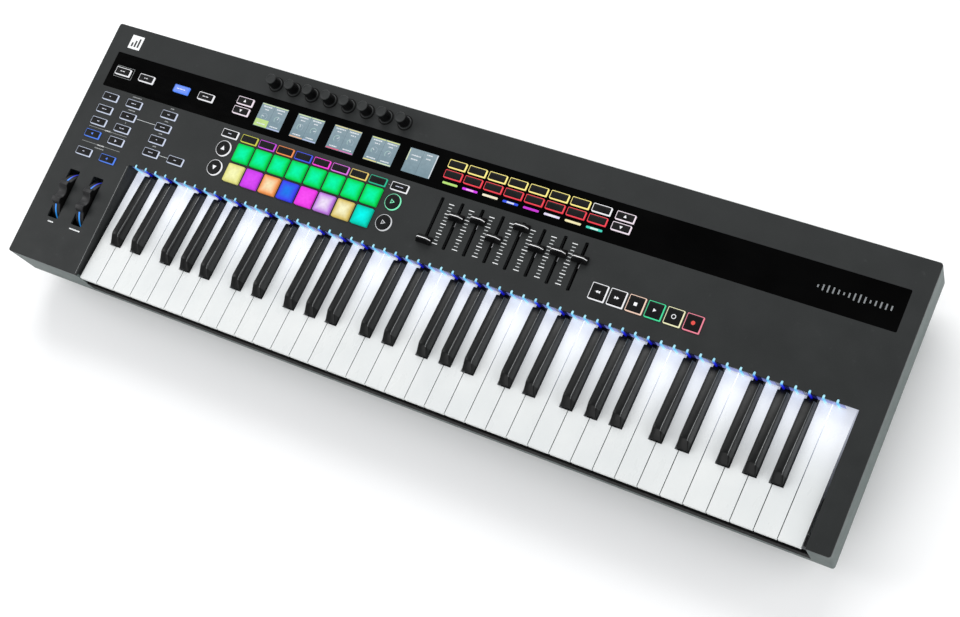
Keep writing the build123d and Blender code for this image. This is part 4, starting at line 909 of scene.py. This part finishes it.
def light_line(build, x, side, near, far):
    """A lit line let into the wheel's rim, which fades towards its far end."""
    steps = 24
    half = 0.95
    rings, tints = [], []
    for step in range(steps + 1):
        share = step / steps
        angle = side * (GLOW_FROM + (GLOW_TO - GLOW_FROM) * share)
        reach = smooth_reach(angle)
        turn = radians(angle)
        section = []
        for across, out in ((-half, -0.6), (half, -0.6), (half, 0.1), (0.0, 0.28), (-half, 0.1)):
            out_reach = reach + out
            section.append((x + across, WHEEL_Y + out_reach * sin(turn), WHEEL_Z + out_reach * cos(turn)))
        rings.append(section if side > 0 else section[::-1])
        tints.append(mix(mix(near, far, min(share * 2, 1)), DARK, max(share - 0.3, 0) * 0.9))
    build.stack(rings, LIGHT, tints)


for node, x in WHEEL_XS.items():
    build = Build()
    wheel(build, x)
    turns = [-2 * pi * step / AXLE_STEPS for step in range(AXLE_STEPS)]
    build.stack([
        [(x + across, WHEEL_Y + AXLE_R * sin(turn), WHEEL_Z + AXLE_R * cos(turn)) for turn in turns]
        for across in (-AXLE_HALF, AXLE_HALF)
    ])
    build.piece(f"{node}_disc", node, WHEEL_MATERIALS, "wheel", node, sharp=40)

# ---- black keys

BLACK_Y = -97.6
BLACK_BASE_HALF = 6.35
BLACK_STATIONS = (  # (distance from the foot of the nose, height, half width of the flat top)
    (0.0, 1.1, 5.5), (0.3, 2.2, 5.3), (1.0, 3.0, 5.15), (8.6, 9.9, 3.85), (9.5, 10.65, 3.75),
    (10.5, 11.2, 3.7), (11.8, 11.5, 3.7), (14.0, 11.55, 3.7), (83.8, 8.05, 4.3), (84.7, 7.7, 4.2),
    (85.0, 7.0, 4.1),
)


def black_section(x, distance, height, half):
    """One cross-section of a black key: steep sides, a bevel on each shoulder and a flat top."""
    y = BLACK_Y + distance
    ground = KEY_TOP_Z - (y - KEY_FRONT_Y) * KEY_FALL
    drop = min(1.1, height * 0.3)
    shoulder = half + drop * 0.9
    side = [
        (BLACK_BASE_HALF, -0.9), (BLACK_BASE_HALF - 0.05, height * 0.2),
        (shoulder + 0.12, height - drop - 0.3), (shoulder, height - drop),
        (half + 0.3, height - 0.3), (half - 0.15, height),
    ]
    points = [(x - across, y, ground + up) for across, up in side]
    return points + [(x + across, y, ground + up) for across, up in side[::-1]]


# the flanks take the painted sheen, and the right edge of the top alone takes the painted highlight
TOP, FLANK, EDGE = 0, 1, 2
BLACK_BAND_PAINTS = [FLANK] * 4 + [TOP, TOP, EDGE] + [FLANK] * 5
NOSE_BANDS = 3  # bands between stations that belong to the raked nose, all in the top's finish


def black_cap(build, x):
    """A black key's cap, with its flanks in a paler finish as painted sheen and the right edge of its top in
    a pale glossy finish as a painted highlight.
    """
    first = len(build.faces) + 1
    build.stack([black_section(x, *station) for station in BLACK_STATIONS], TOP)
    sides = len(BLACK_BAND_PAINTS)
    for band in range(NOSE_BANDS, len(BLACK_STATIONS) - 2):
        for side, paint in enumerate(BLACK_BAND_PAINTS):
            build.paints[first + band * sides + side] = paint


STEM_HALF = 5.3
STEM_DROPS = (8.6, 0.6)
STEM_FRONT_Y, STEM_REAR_Y = -94.0, 24.0


def stem_ring(x, drop):
    """The outline of the lever under a black cap, at a depth below the white key tops."""
    ring = []
    for side, y in ((-1, STEM_FRONT_Y), (1, STEM_FRONT_Y), (1, STEM_REAR_Y), (-1, STEM_REAR_Y)):
        ring.append((x + side * STEM_HALF, y, KEY_TOP_Z - (y - KEY_FRONT_Y) * KEY_FALL - drop))
    return ring


for note, centre in BLACK_CENTRES.items():
    blacks = Build()
    for octave in range(OCTAVES):
        x = KEYS_LEFT_X + OCTAVE_WIDTH * octave + centre
        black_cap(blacks, x)
        blacks.stack([stem_ring(x, drop) for drop in STEM_DROPS])
    node = f"keys_{note}_sharp"
    blacks.piece(f"{node}_caps", node, (BLACK_KEY, BLACK_SIDE_PAINTED_SHEEN, BLACK_EDGE_PAINTED_HIGHLIGHT), "black_key", node, sharp=50)

# ---- light pipes behind the keys

PIPE_HALF = 1.15
PIPE_PATH = (  # (y, z) of the outer face from the inlet in the panel, over the edge and down to the keys
    (-5.75, 82.12), (-7.4, 82.2), (-8.8, 82.05), (-9.6, 81.5), (-10.0, 80.6), (-10.08, 77.5),
    (-10.08, 74.0), (-10.08, 70.0), (-10.0, 66.4),
)
PIPE_THICK = 1.35
PIPE_WHITE = [rgb(*shade) for shade in (
    (150, 205, 222), (176, 230, 244), (150, 220, 242), (112, 200, 240), (84, 180, 236), (104, 196, 240),
    (130, 208, 242), (160, 222, 246), (176, 228, 248),
)]
PIPE_BLUE = [rgb(*shade) for shade in (
    (140, 196, 216), (160, 220, 240), (120, 196, 238), (70, 140, 236), (40, 84, 228), (22, 44, 214),
    (14, 20, 196), (8, 10, 170), (6, 6, 140),
)]
# the painted glow of pipe light on the wall behind the keys: its place, its heights, and its bottom and top
# colours behind white and black keys
PAINTED_WALL_GLOW_Y = -8.66
PAINTED_WALL_GLOW_LOW, PAINTED_WALL_GLOW_HIGH = 67.5, 79.3
PAINTED_WALL_GLOW_WHITE = (rgb(132, 142, 206), rgb(84, 92, 150))
PAINTED_WALL_GLOW_BLACK = (rgb(14, 16, 90), rgb(8, 9, 44))


def light_pipe(build, x, tints):
    """A bent acrylic pipe with rounded sides, from the panel down to the back of a key."""
    rings = []
    for i, (y, z) in enumerate(PIPE_PATH):
        before, after = PIPE_PATH[max(i - 1, 0)], PIPE_PATH[min(i + 1, len(PIPE_PATH) - 1)]
        along = Vector((after[0] - before[0], after[1] - before[1])).normalized()
        inward = Vector((-along.y, along.x))
        edge = PIPE_HALF * (0.72 if i == 0 else 1.0)
        section = []
        for across, depth in (
            (-edge, PIPE_THICK), (-edge, 0.5), (-edge * 0.75, 0.12), (-edge * 0.3, 0.0),
            (edge * 0.3, 0.0), (edge * 0.75, 0.12), (edge, 0.5), (edge, PIPE_THICK),
        ):
            section.append((x + across, y + inward.x * depth, z + inward.y * depth))
        rings.append(section)
    build.stack(rings, 0, tints)


pipes = Build()
for index in range(PIPE_COUNT):
    black = index % 12 in BLACK_NOTES
    x = KEYS_LEFT_X + PIPE_PITCH * (index + 0.5)
    light_pipe(pipes, x, PIPE_BLUE if black else PIPE_WHITE)
    # painted light: a thin strip under the panel edge, behind the pipes, glows as the wall they light, dimmer
    # towards the top
    low, high = PAINTED_WALL_GLOW_BLACK if black else PAINTED_WALL_GLOW_WHITE
    back = [rounded_ring(x, PAINTED_WALL_GLOW_Y, PIPE_PITCH - 0.05, 0.08, 0.02, z, 1)
            for z in (PAINTED_WALL_GLOW_LOW, PAINTED_WALL_GLOW_HIGH)]
    pipes.stack(back, 0, [low, high])
pipes.piece("key_light_guides", "chassis", (PIPE_GLOW,), "light_pipe", "key_light_pipes", sharp=60)

# ---- displays

PRINT = 0.02  # thickness of one layer of a screen's picture
BACK_TOP, BACK_LOW = rgb(142, 164, 174), rgb(124, 150, 162)
PALE_LIME = rgb(218, 236, 182)
LIME = rgb(198, 228, 142)
TEXT = rgb(232, 238, 244)
DIM = rgb(170, 188, 200)
DIAL = rgb(176, 208, 202)
BAR_LAVENDER = rgb(188, 200, 238)
BOTTOM_BARS = {
    (0, 1): BAR_LAVENDER, (1, 0): rgb(240, 190, 150), (1, 1): BAR_LAVENDER, (2, 0): rgb(235, 90, 130),
    (2, 1): rgb(225, 120, 190), (3, 0): rgb(240, 230, 150), (3, 1): rgb(225, 240, 200),
}
TOP_BARS = {2: rgb(236, 226, 160), 3: rgb(228, 236, 150)}


def screen(build, number, x):
    """One colour display: a shaded background, then two halves with a title, a dial and captions each."""
    width, depth = DISPLAY_VIEW
    y = DISPLAY_Y
    z = STRIP_Z
    bands = 6
    for band in range(bands):
        tint = mix(BACK_LOW, BACK_TOP, band / (bands - 1))
        step = depth / bands
        build.bar(x, y - depth / 2 + step * (band + 0.5), width, step, z, tint, thick=0.06)
    z += 0.06
    top, foot = y + depth / 2, y - depth / 2
    build.bar(x, y, 0.3, depth - 1.0, z, rgb(92, 112, 126), thick=PRINT)
    if number == DISPLAY_COUNT - 1:
        build.bar(x - width / 2 + 0.7, top - 8.0, 1.0, 13.0, z, rgb(228, 238, 196), thick=PRINT)
        build.bar(x + width / 2 - 0.7, y, 1.0, depth - 1.0, z, TEXT, thick=PRINT)
        for side, (high, lengths) in enumerate(((7.4, (11.0, 9.0)), (3.0, (7.0, 5.0)))):
            middle = x + (side - 0.5) * 15.0
            for row, length in enumerate(lengths):
                text_bar(build, middle, top - high - 4.4 * row, length, z, TEXT, 3 * side + row)
        return
    for side in (0, 1):
        middle = x + (side - 0.5) * width / 2
        half = width / 2 - 1.0
        build.bar(middle, top - 0.8, half, 1.1, z, TOP_BARS.get(number, PALE_LIME), thick=PRINT)
        text_bar(build, middle, top - 3.4, 11.5, z, TEXT, number * 3 + side + 1, 1.4)
        text_bar(build, middle, top - 6.8, 5.5, z, TEXT, number + side, 1.2)
        dial(build, middle, y - 1.0, z, 60 + (number * 67 + side * 95) % 180)
        lime = number == 0 and side == 0
        if lime:
            build.bar(middle, foot + 4.6, half + 0.6, 8.4, z, LIME, thick=PRINT)
        text_bar(build, middle, foot + 3.6, 10.5, z + PRINT, TEXT, number * 5 + side + 2, 1.3)
        if not lime:
            build.bar(middle, foot + 0.9, half, 1.2, z, BOTTOM_BARS[number, side], thick=PRINT)


def text_bar(build, x, y, length, z, tint, seed, height=1.3):
    """A row of short marks of uneven length, like small print."""
    left, right = x - length / 2, x + length / 2
    step = 0
    while left < right - 0.8:
        word = 0.9 + (seed * 3 + step * 5) % 4 * 0.55
        build.bar(left + word / 2, y, min(word, right - left), height, z, tint, thick=PRINT)
        left += word + 0.4
        step += 1


def dial(build, x, y, z, sweep):
    """A parameter dial, open at the bottom: a thin arc, a brighter arc over part of it, and a pointer."""
    build.hoop(x, y, 3.8, 3.3, z, DIM, thick=PRINT, start=-50, end=230)
    build.hoop(x, y, 3.85, 3.2, z + PRINT, DIAL, thick=PRINT, start=230 - sweep, end=230)
    turn = radians(230 - sweep)
    tip = Vector((cos(turn), sin(turn)))
    side = Vector((-tip.y, tip.x)) * 0.35
    middle = Vector((x, y))
    outline = [middle + side, middle - side, middle + tip * 3.0 - side, middle + tip * 3.0 + side]
    build.slab([tuple(point) for point in outline], z, z + 0.03, TEXT)


screens = Build()
for number, x in enumerate(DISPLAY_XS):
    screen(screens, number, x)
screens.piece("display_screens", "chassis", (SCREEN_GLOW,), "display")

LED_Y, LED_SIZE, LED_CORNER_R, LED_TOP_Z = 79.8, (18.0, 2.4), 0.9, STRIP_Z + 0.08
LED_CENTRE_SIZE = (8.5, 1.7)

leds = Build()
for i, x in enumerate(FADER_BUTTON_XS):
    outline = [p[:2] for p in rounded_ring(x, LED_Y, *LED_SIZE, LED_CORNER_R, 0)]
    leds.slab(outline, STRIP_Z, LED_TOP_Z, LED_TINTS[i])
    if i in LED_CENTRES:
        leds.bar(x, LED_Y, *LED_CENTRE_SIZE, LED_TOP_Z, LED_CENTRES[i], thick=PRINT)
leds.piece("fader_led_bars", "chassis", (SCREEN_GLOW,), "display")

# ---- print on the panel, and painted shade round the knobs

LIGHT_INK = rgb(198, 202, 202)
GREY_INK_AND_PAINTED_HIGHLIGHT = rgb(150, 153, 153)
BRIGHT_INK = rgb(240, 242, 242)
INK_THICK = 0.05
TICK_OFFSET = 12.2
BADGE_PLACE = (-454.9, 129.6)
WAVE_SPAN, WAVE_Y, WAVE_BARS = (386, 458), 91.5, 15
KNOB_GAP_SHADE_RING = (8.8, 7.5)  # outer and inner radius of the dark ring round a knob: painted shade for the gap round it
FRAME_X, FRAME_Y = COLUMNS[0] + 1.0, STRIP_BUTTON_Y - 0.3  # middle of the frame round the first strip button

print_and_shade = Build()


def line(x, y, width, depth, tint=GREY_INK_AND_PAINTED_HIGHLIGHT, z=PANEL_Z):
    """A printed bar on the panel."""
    print_and_shade.bar(x, y, width, depth, z, tint, thick=INK_THICK)


def label(x, y, length, seed, tint=GREY_INK_AND_PAINTED_HIGHLIGHT, height=1.1):
    """A printed word-like row of bars."""
    left, right = x - length / 2, x + length / 2
    step = 0
    while left < right - 0.6:
        word = 0.8 + (seed * 3 + step * 7) % 3 * 0.45
        line(left + word / 2, y, word, height, tint)
        left += word + 0.4
        step += 1


for i, x in enumerate(FADER_XS[:-1]):
    for row, y in enumerate(FADER_TICK_YS):
        major = row % 3 == 0
        line(x + TICK_OFFSET, y - 0.3, 6.2 if major else 4.2, 0.8, BRIGHT_INK if major else LIGHT_INK)

middle_ab = (COLUMNS[0] + COLUMNS[1]) / 2
middle_cd = (COLUMNS[2] + COLUMNS[3]) / 2
span_ab = COLUMNS[1] - COLUMNS[0]
line((COLUMNS[1] + COLUMNS[2]) / 2, ROWS[1] + 0.6, 27.0, 0.5, LIGHT_INK)
line(COLUMNS[1], ROWS[2] + 8.2, 0.5, 2.6)
for y, word in ((ROWS[3] + 8.4, 8.0), (1.9, 10.0)):
    line(middle_ab, y, span_ab + BUTTON[0], 0.4)
    label(middle_ab, y, word, 3, BRIGHT_INK, 1.2)
label(middle_ab, -1.9, 13.0, 2)
line(middle_cd, ROWS[3] + 0.2, COLUMNS[3] - COLUMNS[2] - BUTTON[0] - 2, 0.5, LIGHT_INK)
for row in range(4):
    label(COLUMNS[2], ROWS[row] + 8.2, 4.6, row)
label(COLUMNS[1], ROWS[0] + 8.2, 13.0, 4)
label(COLUMNS[1], ROWS[1] + 8.2, 9.5, 5)
label(WHEEL_XS["pitch_wheel"] + 0.4, -98.5, 7.4, 1, BRIGHT_INK, 1.5)
label(WHEEL_XS["mod_wheel"] + 1.6, -98.5, 15.0, 2, BRIGHT_INK, 1.5)
line(SOFT_XS[-1] - 13.4, SOFT_Y, 2.2, 0.4)
# painted shade: a dark ring on the panel round each knob, for the shaded gap round its skirt
for x in KNOB_XS:
    print_and_shade.hoop(x, KNOB_Y, *KNOB_GAP_SHADE_RING, PANEL_Z, DARK, 1, thick=0.06, steps=48)


def badge(x, y):
    """A plain emblem: a pale square with three dark rising bars."""
    line(x, y, 16.6, 16.8, BRIGHT_INK)
    for i, height in enumerate((5.0, 8.0, 11.0)):
        bar_x, bar_y = x - 4.2 + 4.2 * i, y - 5.6 + height / 2
        line(bar_x, bar_y, 2.4, height, rgb(30, 32, 32), PANEL_Z + INK_THICK)


def wave_mark(left, right, y):
    """A generic wave drawn in bars at the right end of the strip."""
    for i in range(WAVE_BARS):
        x = left + (right - left) * i / (WAVE_BARS - 1)
        height = 2.6 + 6.0 * abs(sin(i * 0.62)) * (0.55 + 0.45 * cos(i * 0.35) ** 2)
        line(x, y, 1.5, height, rgb(120, 124, 126), STRIP_Z)


for side in (-1, 1):
    line(FRAME_X + side * 12.2, FRAME_Y, 0.35, 13.2, z=STRIP_Z)
    line(FRAME_X, FRAME_Y + side * 6.6, 24.6, 0.35, z=STRIP_Z)
badge(*BADGE_PLACE)
wave_mark(*WAVE_SPAN, WAVE_Y)
print_and_shade.piece("panel_print_and_painted_shade", "chassis", (INK_AND_PAINTED_HIGHLIGHT, BLACK_AND_PAINTED_SHADE), "panel")

# ---- painted shade under the keys, and a painted highlight by the key opening

OPENING_X = (-388.4, 463.8)
CASE_FRONT_Y = -147.0
LEAN_FOOT_Z, LEAN_RUN, LEAN_RISE = 32.0, 2.0, 47.5  # where the front face starts to lean, and how much
SHADE_SKIN_LOW, SHADE_SKIN_HIGH = 42.0, 57.1
SHADE_SKIN_BACK_Y = -143.3
SHADE_SKIN_HALF_THICK = 0.1
# place and length of the painted highlight line beside the left edge of the key opening
OPENING_HIGHLIGHT_SHIFT, OPENING_HIGHLIGHT_Y, OPENING_HIGHLIGHT_LENGTH = -1.7, -77.0, 133.0


def front_face_y(z):
    """Where the leaning front face of the case is at height z."""
    return CASE_FRONT_Y + (z - LEAN_FOOT_Z) * LEAN_RUN / LEAN_RISE


# painted shade: a thin black skin over the upper case front, under the key fronts, for the dark band of shade
# below the keys
painted_shade = Build()
high_y, low_y = front_face_y(SHADE_SKIN_HIGH), front_face_y(SHADE_SKIN_LOW)
shade_skin_outline = (
    (SHADE_SKIN_BACK_Y, SHADE_SKIN_HIGH - 0.08), (SHADE_SKIN_BACK_Y, SHADE_SKIN_HIGH + 0.06), (high_y - SHADE_SKIN_HALF_THICK, SHADE_SKIN_HIGH + 0.06),
    (low_y - SHADE_SKIN_HALF_THICK, SHADE_SKIN_LOW), (low_y + SHADE_SKIN_HALF_THICK, SHADE_SKIN_LOW), (high_y + SHADE_SKIN_HALF_THICK, SHADE_SKIN_HIGH - 0.08),
)
painted_shade.stack([[(x, y, z) for y, z in shade_skin_outline] for x in OPENING_X])
# painted highlight: a thin grey line on the panel just left of the key opening, for the light caught by the
# opening's edge
painted_shade.bar(OPENING_X[0] + OPENING_HIGHLIGHT_SHIFT, OPENING_HIGHLIGHT_Y, 0.3, OPENING_HIGHLIGHT_LENGTH, PANEL_Z, GREY_INK_AND_PAINTED_HIGHLIGHT, 1, thick=0.04)
painted_shade.piece("painted_key_shade_and_highlight", "chassis", (BLACK_AND_PAINTED_SHADE, INK_AND_PAINTED_HIGHLIGHT), "panel")

# ---- rear sockets

SOCKET_Z = 58.0
PEDAL_JACK_XS = (-297.0, -273.0, -249.0)
FIVE_PIN_XS = (-374.0, -348.0, -322.0)
RING_YS = (146.88, 146.99)
PIN_YS = (138.0, 139.6)
PIN_CIRCLE_R = 4.6


def rear_hoop(build, x, z, outer, inner, low_y, high_y, paint, steps=32):
    """A ring that faces the rear."""
    turns = [2 * pi * i / steps for i in range(steps)]
    rings = [
        [(x + radius * cos(turn), y, z - radius * sin(turn)) for turn in turns]
        for radius, y in ((outer, low_y), (outer, high_y), (inner, high_y), (inner, low_y))
    ]
    build.tube(rings, steps, paint, PLAIN)


jacks = Build()
for x in PEDAL_JACK_XS:
    rear_hoop(jacks, x, SOCKET_Z, 5.6, 3.35, *RING_YS, 0)
for x in FIVE_PIN_XS:
    rear_hoop(jacks, x, SOCKET_Z, 8.6, 7.05, *RING_YS, 1)
    for pin in range(5):
        turn = radians(180 + 45 * pin)
        px, pz = x + PIN_CIRCLE_R * cos(turn), SOCKET_Z - PIN_CIRCLE_R * sin(turn)
        rear_hoop(jacks, px, pz, 0.9, 0.45, *PIN_YS, 0, 12)
jacks.piece("rear_socket_rings", "chassis", (ROD_STEEL, SOCKET), "bright_steel")
